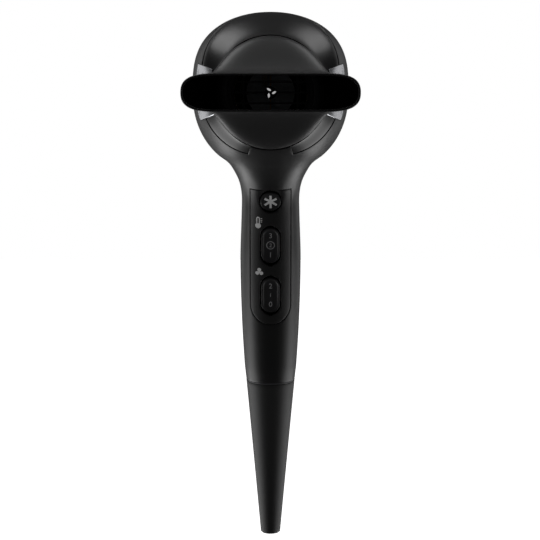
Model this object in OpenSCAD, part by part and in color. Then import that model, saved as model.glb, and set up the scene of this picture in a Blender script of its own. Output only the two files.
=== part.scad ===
// Hand-held hair dryer with a flat concentrator nozzle.
// The origin is the middle of the grip. +Z is up and the nozzle points along -Y.
// The two shells are lofted from level rings. A ring's height is counted from the barrel axis.

/* [Head] */
// Half of the head's width
head_half_w = 42.5; // [42:0.25:43.5]
// Height of the head's top above the barrel axis
head_top = 43.75; // [43:0.25:45]
// Depth of the head's round underside below the barrel axis
head_low = 44; // [43.5:0.25:45]
// Wall of the two shells
shell_wall = 2.2; // [2:0.1:2.4]

/* [Handle] */
// Height of the barrel axis above the middle of the grip
axis_h = 100; // [98:1:102]
// Height of the tail's end above the barrel axis (negative: below it)
tail_end_h = -251; // [-255:1:-245]
// Lean of the handle, as rise over run, at the middle of the grip
lean = 0.268; // [0.25:0.01:0.28]

/* [Nozzle] */
// Width of the nozzle's mouth
mouth_w = 90.4; // [84:0.2:92]
// Height of the nozzle's mouth
mouth_h = 19.6; // [17:0.2:22]
// Length of the nozzle from its base to its mouth
nozzle_len = 51; // [48:1:54]

/* [Barrel] */
// Outer radius of the outlet spigot that the collar slides on
spigot_r = 22.5; // [22:0.25:23]
// Inner radius of the fan duct
duct_r = 29.3; // [29:0.1:29.5]

/* [Controls] */
// Radius of the cold-shot button
button_r = 5.6; // [5.2:0.1:5.8]
// Width of a rocker's face
rocker_w = 10.5; // [10:0.1:10.8]
// Length of a rocker's face
rocker_len = 20.5; // [18:0.25:21]

/* [Hidden] */

// Head and handle outline
head_y = -16;          // the parting plane of the two shells in the head
head_front = 64;       // depth of the front half if it weren't cut by the bezel's opening
head_rear = 120;       // depth of the rear half if it weren't cut flat
ring_n = 2.45;         // superellipse power of a level ring
crown_rise = 3;        // the head's upper half narrows as (1 - height ^ crown_rise) ^ (1 / crown_round)
crown_round = 2;
low_n = 2.15;          // power of the head's underside, seen from the front
lean_curve = 0.000685; // how fast the lean dies away towards the tail
join_h = -34;          // height where the head's formula gives way to the stations below
seam_h = -159.8;       // height of the seam above the tail sleeve
seam_shear = 0.155;    // slope of the seam: its front is lower
shear_top = -50;       // the rings start to slope below this height
rear_cut_y = 62;       // the flat rear end of the shells
step = 0.15;           // gap between pieces of one body that lie face to face

// Bezel and side trims
bezel_front = 50;      // depth of the bezel's front edge, counted forwards from the parting plane
bezel_r = 30.2;        // radius of the bezel's opening
bezel_drop = 1.2;      // how far the bezel lies below the shell's surface at the rim
bezel_wall = 1.4;
bezel_lap = 2.8;       // how far inside the rim the bezel still clears the shell's edge
bridge_half = 20;      // half angle of the chin that crosses the bezel at the bottom
trim_half = 21.5;      // half angle of a side trim
trim_back = 30.5;      // depth of a side trim's outer edge

// Barrel, along Y
spigot_front = -76;
spigot_back = -62;
barrel_front = -54;
barrel_back = -0.2;
barrel_r = 27;
barrel_wall = 1.5;
flange_y = -66.5;
flange_t = 1.5;
flange_r = 28.6;
duct_wall = 1.6;
duct_back = 61.5;
motor_r = 13.5;
motor_front = 4;
motor_back = 42;
can_wall = 0.8;
shaft_r = 1.5;
bush_play = 0.05;
fan_front = 45;
fan_back = 58;
fan_hub_r = 12;
fan_blades = 9;
stator_vanes = 7;

// Nozzle and its collar
base_y = -67;
web_y = -74.2;
base_r = 29.3;
nozzle_wall = 1.3;
collar_play = 0.06;
collar_wall = 2.4;
collar_back = -69.2;
collar_front = -79.6;
ring_play = 0.08;
ring_wall = 1.6;
mouth_side_n = 8;      // power of the mouth's outline, across
mouth_top_n = 2.4;     // power of the mouth's outline, up
flatten_at = 0.26;     // share of the nozzle's length that stays round, round the collar
flatten_len = 0.56;    // share of its length over which it flattens
flare_at = 0.42;       // share of its length after which it widens to the mouth

// Handle parts
panel_half = 11.1;
panel_top = -50;
panel_mid = -90;
panel_low = -117.4;    // centre of the panel's round lower end
button_at = -59.3;
temperature_at = -83;
speed_at = -110;
window_w = 11.6;
window_len = 22.8;
pin_depth = 5.6;       // depth of a rocker's pin below the panel's face
pin_r = 1;
button_play = 0.7;
upper_screw_z = 58;
lower_screw_z = -37;
gland_bore = 3.4;
gland_r = 4.6;
tail_r = 5.5;
tail_wall = 2;

// Filter cap
cap_back = 84;
cap_wall = 2;
skirt_r = 32.6;
skirt_wall = 1.2;

big = 200;
fine = $preview ? 48 : 72;

// ---------------------------------------------------------------- curves

function mix(a, b, t) = a + (b - a) * t;
function ease(t) = t * t * (3 - 2 * t);
function clamp01(t) = min(1, max(0, t));
function signed_pow(v, p) = sign(v) * pow(abs(v), p);

// Height of a superellipse over u, which runs from -1 to 1: power n along u, and m across it
function dome(u, n, m) = pow(max(0, 1 - pow(min(1, abs(u)), n)), 1 / (is_undef(m) ? n : m));

// Smooth curve through the rows of a table: column k against column 0
function table_slope(s, i, k) =
    let (a = max(0, i - 1), b = min(len(s) - 1, i + 1))
    (s[b][k] - s[a][k]) / (s[b][0] - s[a][0]);
function table_span(s, h, i = 0) =
    i >= len(s) - 2 || (h - s[i][0]) * (h - s[i + 1][0]) <= 0 ? i : table_span(s, h, i + 1);
function table_at(s, h, k) =
    let (i = table_span(s, h), d = s[i + 1][0] - s[i][0], t = (h - s[i][0]) / d)
    mix(s[i][k], s[i + 1][k], ease(t))
    + d * t * (1 - t) * ((1 - t) * table_slope(s, i, k) - t * table_slope(s, i + 1, k));

// ---------------------------------------------------------------- head and handle outline

// A section is [half width, depth in front of the parting line, depth behind it]
function head_share(h) = h >= 0 ? dome(h / head_top, crown_rise, crown_round) : dome(h / head_low, low_n);
function head_section(h) = head_share(h) * [head_half_w, head_front, head_rear];

// Stations of the neck and grip: height, half width, front depth, rear depth
grip_stations = [
    concat([-31], head_section(-31)),
    concat([join_h], head_section(join_h)),
    [-38, 23.2, 36.8, 65],
    [-42, 20.3, 30.4, 48],
    [-48.5, 17.2, 23.4, 29],
    [-56, 15.85, 19.8, 20.5],
    [-66, 15.95, 18.5, 18.5],
    [-92, 16.75, 18.2, 18.2],
    [-124, 16.1, 17.6, 17.6],
    [-151, 14.65, 16.2, 16.2],
    [seam_h, 13.75, 15.2, 15.2]
];
function section(h) =
    h > join_h ? head_section(h) : [for (k = [1:3]) table_at(grip_stations, h, k)];

function grip_y(h) = let (z = h + axis_h) -(lean * z + lean_curve * z * z);
function part_y(h) =
    let (g = grip_y(h), reach = 8, over = max(reach - abs(g - head_y), 0) / reach)
    max(g, head_y) + over * over * reach / 4;
function shear(h) = seam_shear * ease(clamp01((shear_top - h) / (shear_top - seam_h)));
function front_y(h) = part_y(h) - section(h)[1];
function face_tilt(h) = atan((front_y(h - 1) - front_y(h + 1)) / 2);

// A point of the outline at angle a round a ring: 0 is +X, 90 is the front, 180 is -X and 270 the rear
function outline_point(h, a, off) =
    let (
        s = section(h),
        c = signed_pow(cos(a), 2 / ring_n),
        d = signed_pow(sin(a), 2 / ring_n),
        y = -(d > 0 ? s[1] - off : s[2] - off) * d,
        squeeze = h > 0 ? (head_top - off) / head_top : 1,
        k = h > 0 ? head_share(h) : 1
    )
    h > 0
    ? [(head_half_w - off) * k * c, head_y - ((d > 0 ? head_front : head_rear) - off) * k * d, axis_h + h * squeeze]
    : [(s[0] - off) * c, part_y(h) + y, axis_h + h + shear(h) * y];

// Ring heights: close together where the outline turns fast
ring_heights = concat(
    [for (a = [86:-10:6]) head_top * sin(a)],
    [for (h = [0:-5:-30]) h],
    [for (h = [join_h:-2:-52]) h],
    [-56, -60, -66],
    [for (h = [-76:-11:-142]) h],
    [-151, seam_h]
);

// ---------------------------------------------------------------- lofts

// Triangles between closed loops of equal length. A ring joins the last loop to the first.
function loft_faces(rows, cols, ring) = concat(
    [for (r = [0:rows - (ring ? 1 : 2)], c = [0:cols - 1], half = [0, 1])
        let (a = r * cols, b = ((r + 1) % rows) * cols, d = (c + 1) % cols)
        half == 0 ? [a + c, a + d, b + d] : [a + c, b + d, b + c]],
    ring ? [] : [[for (c = [cols - 1:-1:0]) c], [for (c = [0:cols - 1]) (rows - 1) * cols + c]]
);
function turned(faces) = [for (f = faces) [for (i = [len(f) - 1:-1:0]) f[i]]];
module loft(loops, ring = false, turn = false) {
    faces = loft_faces(len(loops), len(loops[0]), ring);
    polyhedron([for (l = loops, p = l) p], turn ? turned(faces) : faces, convexity = 10);
}

// One half of the hollow outline, from the crown of the head to the seam, split on the parting line
module half_shell(front, off, wall, heights = ring_heights) {
    n = front ? 18 : 20;
    side = front ? 1 : -1;
    cols = 2 * (n + 1);
    rows = len(heights);
    loops = [for (h = heights) concat(
        [for (i = [0:n]) outline_point(h, side * 180 * i / n, off)],
        [for (i = [n:-1:0]) outline_point(h, side * 180 * i / n, off + wall)]
    )];
    walls = [for (r = [0:rows - 2], c = [0:cols - 1], half = [0, 1])
        let (a = r * cols, b = a + cols, d = (c + 1) % cols)
        half == 0 ? [a + c, a + d, b + d] : [a + c, b + d, b + c]];
    // Each cap is cut into strips between the two sides of its arc, from the arc's ends to its middle
    crown = concat(
        [for (i = [0:n / 2 - 1], half = [0, 1]) if (half == 0 || i < n / 2 - 1)
            half == 0 ? [n - i, n - i - 1, i] : [n - i - 1, i + 1, i]],
        [for (i = [0:n / 2 - 1], half = [0, 1]) let (a = n + 1 + i, b = cols - 1 - i) if (half == 0 || i < n / 2 - 1)
            half == 0 ? [b, b - 1, a] : [b - 1, a + 1, a]],
        [[0, cols - 1, n + 1], [0, n + 1, n]]
    );
    last = (rows - 1) * cols;
    foot = [for (i = [0:n - 1], half = [0, 1]) let (a = last + i, b = last + cols - 1 - i)
        half == 0 ? [a, a + 1, b - 1] : [a, b - 1, b]];
    faces = concat(walls, crown, foot);
    polyhedron([for (l = loops, p = l) p], front ? turned(faces) : faces, convexity = 10);
}

// Circle of sides points round a place on a path, square to its direction in the YZ plane
function tube_loop(p, dir, r, sides) =
    let (u = dir / norm(dir), v = cross(u, abs(u[0]) > 0.7 ? [0, 0, 1] : [1, 0, 0]), w = v / norm(v), q = cross(u, w))
    [for (i = [0:sides - 1]) let (a = 360 * i / sides) p + r * cos(a) * w + r * sin(a) * q];
module tube(path, r, sides) {
    last = len(path) - 1;
    loft([for (i = [0:last]) tube_loop(path[i], path[min(i + 1, last)] - path[max(i - 1, 0)], r, sides)], turn = true);
}

// ---------------------------------------------------------------- places

// Local Z runs along +Y from y, on the barrel axis
module on_axis(y) {
    translate([0, y, axis_h]) rotate([-90, 0, 0]) children();
}
// Local Z stands out of the handle's front face, and local Y runs up the face
module on_face(h) {
    translate([0, front_y(h), axis_h + h - shear(h) * section(h)[1]]) rotate([90 + face_tilt(h), 0, 0]) children();
}
// Local Z runs up the handle's centre line
module on_grip(h) {
    g = (grip_y(h + 1) - grip_y(h - 1)) / 2;
    translate([0, grip_y(h), axis_h + h]) rotate([-atan(g), 0, 0]) children();
}
module ring(r_in, r_out, len) {
    difference() {
        cylinder(r = r_out, h = len, $fn = fine);
        translate([0, 0, -1]) cylinder(r = r_in, h = len + 2, $fn = fine);
    }
}
module stadium(w, len) {
    square([w, len - w], center = true);
    for (s = [-1, 1]) translate([0, s * (len - w) / 2]) circle(d = w, $fn = fine);
}

// ---------------------------------------------------------------- shells

// Side view of the rim where the shell gives way to the bezel: height, depth
rim_stations = [[46, 2], [38, 18.5], [31, 29.5], [17, 37], [0, 39], [-14, 39.8], [-24, 41.8], [-36, 44]];
function rim_depth(h) = table_at(rim_stations, h, 1);

module rim_cut() {
    profile = concat(
        [for (h = [46:-3:-35]) [head_y - rim_depth(h), axis_h + h]],
        [[-big, axis_h - 35], [-big, axis_h + 46]]
    );
    rotate([90, 0, 90]) linear_extrude(height = big, center = true) polygon(profile);
}
// A slice of the front view between two angles, counted clockwise from the top
module sector(from, to, y_low, y_high) {
    translate([0, y_high, axis_h]) rotate([90, 0, 0]) linear_extrude(height = y_high - y_low)
        polygon([[0, 0], [90 * sin(from), 90 * cos(from)], [90 * sin(to), 90 * cos(to)]]);
}
module panel_outline(half, top, drop) {
    reach = panel_mid - panel_low;
    translate([-half, -reach]) square([2 * half, reach + top - panel_mid]);
    translate([0, -reach]) circle(r = half, $fn = fine);
}
module panel_prism(half, top) {
    on_face(panel_mid) translate([0, 0, -12]) linear_extrude(height = 20) panel_outline(half, top);
}
module screw_post(z, y_from, y_to, r_out, r_in) {
    translate([0, y_from, z]) rotate([-90, 0, 0]) ring(r_in, r_out, y_to - y_from);
}

upper_post_y = -42;
lower_post_y = -6.9;
upper_seat_y = 12;
lower_seat_y = 17;

module front_shell() {
    color("#1d1d1f") union() {
        difference() {
            half_shell(true, 0, shell_wall);
            difference() {
                rim_cut();
                sector(180 - bridge_half, 180 + bridge_half, -big, head_y);
            }
            for (s = [-90, 90])
                sector(s - trim_half - 0.4, s + trim_half + 0.4, head_y - 60, head_y - trim_back);
            on_axis(-big) cylinder(r = bezel_r + step, h = big + spigot_back, $fn = fine);
            panel_prism(panel_half + step, panel_top + 0.2);
        }
        screw_post(upper_screw_z, upper_post_y, part_y(upper_screw_z - axis_h) - step, 3.4, 1.2);
        screw_post(lower_screw_z, lower_post_y, part_y(lower_screw_z - axis_h) - step, 3.4, 1.2);
    }
}

module rear_shell() {
    color("#1d1d1f") difference() {
        union() {
            half_shell(false, 0, shell_wall);
            screw_post(upper_screw_z, head_y + 2, 20, 3.4, 1.7);
            screw_post(lower_screw_z, part_y(lower_screw_z - axis_h) + step, 23, 3.4, 1.7);
        }
        translate([-big / 2, rear_cut_y, axis_h - big / 2]) cube(big);
        translate([0, upper_seat_y, upper_screw_z]) rotate([-90, 0, 0]) cylinder(r = 2.9, h = 40, $fn = fine);
        translate([0, lower_seat_y, lower_screw_z]) rotate([-90, 0, 0]) cylinder(r = 2.9, h = 40, $fn = fine);
    }
}

// Half width of the head at height h and depth d, or -1 where the outline doesn't reach that deep
function side_reach(h, d) = let (s = head_section(h)) d >= s[1] ? -1 : s[0] * dome(d / s[1], ring_n);
// Radius of the head's outline at angle t from the top, at depth d
function head_radius(t, d, lo = 20, hi = 50, left = 16) =
    let (r = (lo + hi) / 2, inside = side_reach(r * cos(t), d) >= abs(r * sin(t)))
    left == 0 ? r : head_radius(t, d, inside ? r : lo, inside ? hi : r, left - 1);
// Radius at which the rim crosses the outline
function rim_radius(t, lo = 20, hi = 46, left = 16) =
    let (r = (lo + hi) / 2, h = r * cos(t), inside = side_reach(h, rim_depth(h)) >= abs(r * sin(t)))
    left == 0 ? r : rim_radius(t, inside ? r : lo, inside ? hi : r, left - 1);
function polar(t, r, d) = [r * sin(t), head_y - d, axis_h + r * cos(t)];

bezel_steps = 7;
function bezel_point(t, u) =
    let (
        r0 = rim_radius(t),
        d0 = max(rim_depth(r0 * cos(t)), rim_depth((r0 - bezel_lap) * cos(t))) + step,
        d = mix(d0, bezel_front, sin(90 * u)),
        r = mix(head_radius(t, d) - bezel_drop, bezel_r, ease(u))
    )
    [r, d, max(d0, d - bezel_wall)];

module bezel() {
    color("#08080a") loft([
        for (t = [-160:8:160]) concat(
            [for (i = [0:bezel_steps]) let (p = bezel_point(t, i / bezel_steps)) polar(t, p[0], p[1])],
            [for (i = [bezel_steps:-1:0])
                let (p = bezel_point(t, i / bezel_steps)) polar(t, p[0] - bezel_wall, p[2])]
        )
    ], turn = true);
}

trim_steps = 6;
module side_trims() {
    color("#c9cbce") for (s = [-90, 90]) loft([
        for (a = [-trim_half:trim_half / 4:trim_half]) concat(
            [for (i = [0:trim_steps])
                let (d = mix(trim_back + step, bezel_front - 0.8, i / trim_steps))
                polar(s + a, head_radius(s + a, d) + 0.2, d)],
            [for (i = [trim_steps:-1:0])
                let (d = mix(trim_back + step, bezel_front - 0.8, i / trim_steps))
                polar(s + a, head_radius(s + a, d) - 0.9, d - 0.2)]
        )
    ], turn = true);
}

module control_windows() {
    on_face(button_at) translate([0, 0, -12]) cylinder(r = button_r + button_play, h = 20, $fn = fine);
    for (h = [temperature_at, speed_at])
        on_face(h) translate([0, 0, -12]) linear_extrude(height = 20) stadium(window_w, window_len);
}
module switch_panel() {
    color("#151517") difference() {
        intersection() {
            half_shell(true, 0, shell_wall, [for (h = ring_heights) if (h < -40 && h > -150) h]);
            panel_prism(panel_half, panel_top);
        }
        control_windows();
    }
}

// ---------------------------------------------------------------- tail

tail_steps = 8;
function tail_point(t, a, off) =
    let (
        h = mix(seam_h - 0.8, tail_end_h, t),
        w = mix(13.7, tail_r, t) - off,
        d = mix(15.1, tail_r, t) - off,
        n = mix(ring_n, 2, t),
        y = -d * signed_pow(sin(a), 2 / n)
    )
    [w * signed_pow(cos(a), 2 / n), grip_y(h) + y, axis_h + h + mix(seam_shear, 0, ease(t)) * y];

module tail_sleeve() {
    tail_sides = 32;
    color("#161617") difference() {
        loft([for (i = [0:tail_sides - 1]) let (a = 360 * i / tail_sides) concat(
            [for (j = [0:tail_steps]) tail_point(j / tail_steps, a, 0)],
            [for (j = [tail_steps:-1:0]) tail_point(j / tail_steps, a, mix(tail_wall, 1.9, j / tail_steps))]
        )], ring = true);
        on_grip(tail_end_h + 12) translate([0, 0, -20]) cylinder(r = gland_r + 0.02, h = 32, $fn = fine);
    }
}
module seam_ring() {
    sides = 32;
    color("#3c3c3f") loft([for (i = [0:sides - 1]) let (a = 360 * i / sides) [
        for (p = [[0.05, 0.35], [0.75, 0.35], [0.75, 2.4], [6, 2.7], [6, 3.7], [-6, 3.5], [-6, 2.5], [0.05, 2.4]])
            seam_point(p[0], a, p[1])
    ]], ring = true);
}
// A point near the seam: drop is counted downwards from it, and off inwards from the surface
function seam_point(drop, a, off) =
    let (
        h = seam_h - drop,
        y = -(15.2 - off) * signed_pow(sin(a), 2 / ring_n)
    )
    [(13.75 - off) * signed_pow(cos(a), 2 / ring_n), grip_y(h) + y, axis_h + h + seam_shear * y];

module cord_gland() {
    color("#101011") on_grip(tail_end_h + 12) translate([0, 0, -12 - 0.4]) difference() {
        union() {
            cylinder(r = gland_r, h = 24, $fn = fine);
            translate([0, 0, 24]) cylinder(r = 5.3, h = 2.5, $fn = fine);
        }
        translate([0, 0, -1]) cylinder(r = gland_bore, h = 40, $fn = fine);
    }
}
module cord_clamp() {
    color("#2b2b2d") on_grip(-150) difference() {
        union() {
            translate([-9, -3.2, -3]) cube([18, 2, 6]);
            translate([-9, 4.8, -3]) cube([18, 2, 6]);
            for (s = [-1, 1]) translate([s * 8 - 1, -1.2, -3]) cube([2, 6, 6]);
        }
        for (s = [-1, 1]) translate([s * 6, 10, 0]) rotate([90, 0, 0]) cylinder(r = 1.1, h = 20, $fn = fine);
    }
}
module clamp_screws() {
    color("#8d8f92") on_grip(-150) for (s = [-1, 1]) translate([s * 6, 0, 0]) {
        translate([0, 7.6, 0]) rotate([90, 0, 0]) cylinder(r = 1, h = 9.6, $fn = fine);
        translate([0, 8.2, 0]) rotate([90, 0, 0]) cylinder(r = 1.9, h = 1.3, $fn = fine);
    }
}

// ---------------------------------------------------------------- barrel and heater

module barrel() {
    r = barrel_r;
    w = barrel_wall;
    inner = spigot_r - 2;
    color("#26262a") on_axis(0) rotate_extrude($fn = fine) polygon([
        [inner, flange_y], [flange_r, flange_y], [flange_r, flange_y + flange_t],
        [spigot_r, flange_y + flange_t], [spigot_r, spigot_back],
        [r + w, barrel_front], [r + w, barrel_back], [r, barrel_back], [r, barrel_front],
        [inner, spigot_back - 1]
    ]);
}
module outlet_spigot() {
    color("#26262a") on_axis(spigot_front) ring(spigot_r - 2, spigot_r, flange_y - spigot_front - step);
}
module outlet_grille() {
    r = spigot_r - 2 - 0.05;
    hub = 3.2;
    color("#0b0b0c") on_axis(-72) {
        ring(r - 1.2, r, 2.4);
        intersection() {
            cylinder(r = r - 1, h = 1.6, $fn = fine);
            translate([0, 0, 0]) linear_extrude(height = 1.6) difference() {
                union() {
                    for (i = [-3:3]) translate([0, i * 5.5]) square([2 * r, 0.9], center = true);
                    for (s = [-1, 1]) translate([s * 14.1, 0]) square([0.9, 2 * r], center = true);
                    circle(r = hub, $fn = fine);
                }
                for (a = [0:120:240]) rotate(a) translate([1.7, 0.3]) circle(r = 0.75, $fn = 24);
            }
        }
    }
}
module mica_sleeve() {
    color("#b9a47a") on_axis(-60) ring(19.3, 19.8, 52);
}
module mica_boards() {
    color("#c4b084") on_axis(-58) difference() {
        for (a = [0, 90]) rotate(a) translate([-15.2, -0.4, 0]) cube([30.4, 0.8, 48]);
        translate([0, 0, -1]) cylinder(r = 2, h = 50, $fn = fine);
    }
}
winding_turns = 9;
winding_steps = 16;
module heater_winding() {
    path = [for (i = [0:winding_turns * winding_steps])
        let (a = 360 * i / winding_steps, y = mix(-56, -13, i / (winding_turns * winding_steps)))
        [16.1 * cos(a), y, axis_h + 16.1 * sin(a)]];
    color("#a9a29a") tube(path, 0.6, 6);
}
module thermostat() {
    color("#d8d2c2") translate([-4.2, -40, axis_h + 3]) {
        cube([2.6, 12, 6]);
        translate([0.4, 3, 6]) cube([1.8, 6, 2]);
    }
}
module thermal_fuse() {
    color("#d4d6d8") translate([3.6, -26, axis_h - 6]) rotate([-90, 0, 0]) {
        cylinder(r = 1.6, h = 9, $fn = fine);
        translate([0, 0, -4]) cylinder(r = 0.4, h = 17, $fn = 24);
    }
}

// ---------------------------------------------------------------- duct, motor and fan

module fan_duct() {
    vane_len = 16;
    color("#2a2a2e") union() {
        on_axis(0) ring(duct_r, duct_r + duct_wall, duct_back);
        on_axis(0) ring(barrel_r, duct_r + 0.5, 1.6);
        on_axis(8) ring(motor_r + 0.05, motor_r + 1.4, vane_len);
        on_axis(10) for (i = [0:stator_vanes - 1]) rotate(360 * i / stator_vanes)
            translate([motor_r + 1, 0, 0]) rotate([18, 0, 0]) translate([0, -0.6, 0])
                cube([duct_r - motor_r - 0.6, 1.2, vane_len - 4]);
    }
}
module motor_can() {
    color("#9a9ca0") difference() {
        on_axis(motor_front) cylinder(r = motor_r, h = motor_back - motor_front, $fn = fine);
        on_axis(motor_front + can_wall) cylinder(r = motor_r - can_wall, h = 60, $fn = fine);
        on_axis(motor_front - 1) cylinder(r = 3, h = 4, $fn = fine);
    }
}
module motor_magnets() {
    color("#4c4c50") on_axis(12) intersection() {
        ring(11.2, motor_r - can_wall - 0.05, 20);
        for (s = [0, 180]) rotate(s) translate([0, -9, -1]) cube([20, 18, 30]);
    }
}
module motor_end_plate() {
    color("#e4e0d4") on_axis(motor_back - 2.2) ring(3, motor_r - can_wall - 0.05, 2);
}
module motor_bearings() {
    color("#b08a4a") {
        on_axis(motor_front - 0.6) ring(shaft_r + bush_play, 3, 3.2);
        on_axis(motor_back - 3) ring(shaft_r + bush_play, 3, 3.6);
    }
}
module brush_holder() {
    color("#6f4b34") on_axis(motor_back - 7.6) for (s = [0, 180]) rotate(s) translate([4.6, -1.2, 0]) cube([5, 2.4, 4]);
}
module motor_shaft() {
    color("#b8babd") on_axis(motor_front - 1.5) cylinder(r = shaft_r, h = fan_back - motor_front + 4.5, $fn = fine);
}
module armature() {
    color("#8a5a3a") on_axis(13) difference() {
        linear_extrude(height = 18) union() {
            circle(r = 4.4, $fn = fine);
            for (i = [0:4]) rotate(72 * i) {
                translate([0, -1.4]) square([9.4, 2.8]);
                intersection() {
                    difference() {
                        circle(r = 10.6, $fn = fine);
                        circle(r = 8.8, $fn = fine);
                    }
                    polygon([[0, 0], [14, 7.6], [14, -7.6]]);
                }
            }
        }
        translate([0, 0, -1]) cylinder(r = shaft_r, h = 30, $fn = fine);
    }
}
module commutator() {
    color("#b87333") on_axis(34) ring(shaft_r, 4.1, 4.6);
}
blade_rows = 5;
function blade_loop(r) =
    let (
        t = (r - fan_hub_r) / (duct_r - fan_hub_r),
        pitch = mix(48, 28, t),
        chord = mix(12, 14, t),
        half = 0.6
    )
    [for (p = [[-0.5, half], [0, half + 0.9], [0.5, half], [0.5, -half], [0, 0.9 - half], [-0.5, -half]])
        let (u = p[0] * chord, v = p[1])
        [r, u * cos(pitch) - v * sin(pitch), u * sin(pitch) + v * cos(pitch)]];
module fan() {
    blade_tip = duct_r - 0.9;
    color("#3a3c40") on_axis(fan_front) difference() {
        union() {
            cylinder(r = fan_hub_r, h = fan_back - fan_front, $fn = fine);
            for (i = [0:fan_blades - 1]) rotate(360 * i / fan_blades) translate([0, 0, (fan_back - fan_front) / 2])
                loft([for (j = [0:blade_rows]) blade_loop(mix(fan_hub_r - 1.5, blade_tip, j / blade_rows))]);
        }
        translate([0, 0, -1]) cylinder(r = shaft_r, h = 30, $fn = fine);
        translate([0, 0, -1]) cylinder(r = fan_hub_r - 1.6, h = 9, $fn = fine);
    }
}
module fan_clip() {
    color("#c2c4c6") on_axis(fan_back) ring(shaft_r, 3.4, 1.2);
}
module intake_guard() {
    r = duct_r + duct_wall;
    color("#1a1a1c") on_axis(duct_back) {
        ring(r - 1.4, r, 1);
        linear_extrude(height = 1) union() {
            for (k = [10, 20]) difference() {
                circle(r = k + 0.5, $fn = fine);
                circle(r = k - 0.5, $fn = fine);
            }
            for (a = [0:60:300]) rotate(a) translate([9.6, -0.5]) square([r - 10.6, 1]);
        }
    }
}

// ---------------------------------------------------------------- nozzle

nozzle_sides = 48;
nozzle_steps = 12;
skirt_front = base_y - nozzle_len * flatten_at;
function nozzle_point(t, a, off) =
    let (
        y = base_y - nozzle_len * t,
        s = ease(clamp01((t - flatten_at) / flatten_len)),
        q = clamp01((t - flare_at) / (1 - flare_at)),
        w = mix(base_r, mouth_w / 2, q * q * (1.6 - 0.6 * q)) - off,
        d = mix(base_r, mouth_h / 2, s) - off,
        x = signed_pow(cos(a), 2 / mix(2, mouth_side_n, s)),
        z = signed_pow(sin(a), 2 / mix(2, mouth_top_n, s))
    )
    [w * x, y, axis_h + d * z];

ring_in = spigot_r + collar_play + collar_wall + ring_play;
ring_front = collar_front + 1.6;
ring_back = collar_back - 1.4;
module nozzle() {
    shares = [for (j = [0:nozzle_steps]) mix(flatten_at, 1, j / nozzle_steps)];
    color("#1a1a1c") loft([for (i = [0:nozzle_sides - 1]) let (a = 360 * i / nozzle_sides) concat(
        [for (t = shares) nozzle_point(t, a, 0)],
        [for (j = [nozzle_steps:-1:0]) nozzle_point(shares[j], a, nozzle_wall)]
    )], ring = true);
}
// The nozzle's round base
module nozzle_skirt() {
    color("#1a1a1c") on_axis(skirt_front + step) ring(base_r - nozzle_wall, base_r, base_y - skirt_front - step);
}
// Ring inside the nozzle's base that turns on the collar, on a web
module nozzle_ring() {
    color("#1e1e20") union() {
        on_axis(ring_front) ring(ring_in, ring_in + ring_wall, ring_back - ring_front);
        on_axis(web_y) ring(ring_in + 0.2, base_r - nozzle_wall - step, 1.2);
    }
}
module nozzle_collar() {
    inner = spigot_r + collar_play;
    outer = inner + collar_wall;
    color("#232326") on_axis(collar_front) {
        ring(inner, outer, collar_back - collar_front);
        ring(inner, outer + 1.4, 1.2);
        translate([0, 0, collar_back - collar_front - 1.1]) ring(inner, outer + 1.8, 1.1);
    }
}

// ---------------------------------------------------------------- controls

module cold_shot_button() {
    dish_r = 30;
    color("#2d2d30") on_face(button_at) difference() {
        union() {
            translate([0, 0, -6]) cylinder(r = button_r, h = 5.6, $fn = fine);
            translate([0, 0, -7]) cylinder(r = button_r + 1.2, h = 1.2, $fn = fine);
            translate([0, 0, -11]) cylinder(r = 1.5, h = 5, $fn = fine);
        }
        translate([0, 0, dish_r - 0.9]) sphere(r = dish_r, $fn = fine);
    }
}
module button_spring() {
    turns = 3;
    steps = 10;
    path = [for (i = [0:turns * steps]) let (a = 360 * i / steps)
        [2.6 * cos(a), 2.6 * sin(a), mix(-11.2, -7.4, i / (turns * steps))]];
    color("#c8cacc") on_face(button_at) tube(path, 0.25, 6);
}
module cold_shot_switch() {
    color("#3b3b40") on_face(button_at) difference() {
        translate([-5, -5.5, -19.5]) cube([10, 11, 8]);
        translate([0, 0, -13.5]) cylinder(r = 1.9, h = 3, $fn = fine);
    }
}
module rocker() {
    back = 2.6;
    color("#242427") difference() {
        union() {
            translate([0, 0, -pin_depth - back]) linear_extrude(height = pin_depth + back - 0.5)
                stadium(rocker_w, rocker_len);
            translate([-1.5, -2, -pin_depth - back - 1.6]) cube([3, 4, 2]);
        }
        translate([0, 0, 44]) rotate([0, 90, 0]) cylinder(r = 44.9, h = 30, center = true, $fn = 180);
        translate([0, 0, -pin_depth]) rotate([0, 90, 0]) cylinder(r = pin_r + bush_play, h = 30, center = true, $fn = fine);
    }
}
module temperature_rocker() {
    on_face(temperature_at) rocker();
}
module speed_rocker() {
    on_face(speed_at) rocker();
}
module rocker_pins() {
    color("#b8babd") for (h = [temperature_at, speed_at])
        on_face(h) translate([0, 0, -pin_depth]) rotate([0, 90, 0]) cylinder(r = pin_r, h = 15, center = true, $fn = fine);
}
module rocker_switch() {
    color("#ece7da") difference() {
        union() {
            translate([-7.6, -7.5, -19.2]) cube([15.2, 15, 7.2]);
            for (s = [-1, 1]) translate([s * 6.9 - 0.7, -2.4, -19]) cube([1.4, 4.8, 14.6]);
        }
        translate([0, 0, -pin_depth]) rotate([0, 90, 0]) cylinder(r = pin_r, h = 30, center = true, $fn = fine);
        translate([-2.4, -4, -14]) cube([4.8, 8, 6]);
    }
}
module temperature_switch() {
    on_face(temperature_at) rocker_switch();
}
module speed_switch() {
    on_face(speed_at) rocker_switch();
}
module control_board() {
    color("#2f6b3c") on_face(panel_mid) translate([-10, -31, -21.4]) cube([20, 62, 1.4]);
}
module capacitor() {
    color("#d9b64a") on_face(panel_mid) translate([-6, -12, -28]) cube([12, 15, 6]);
}
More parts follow.
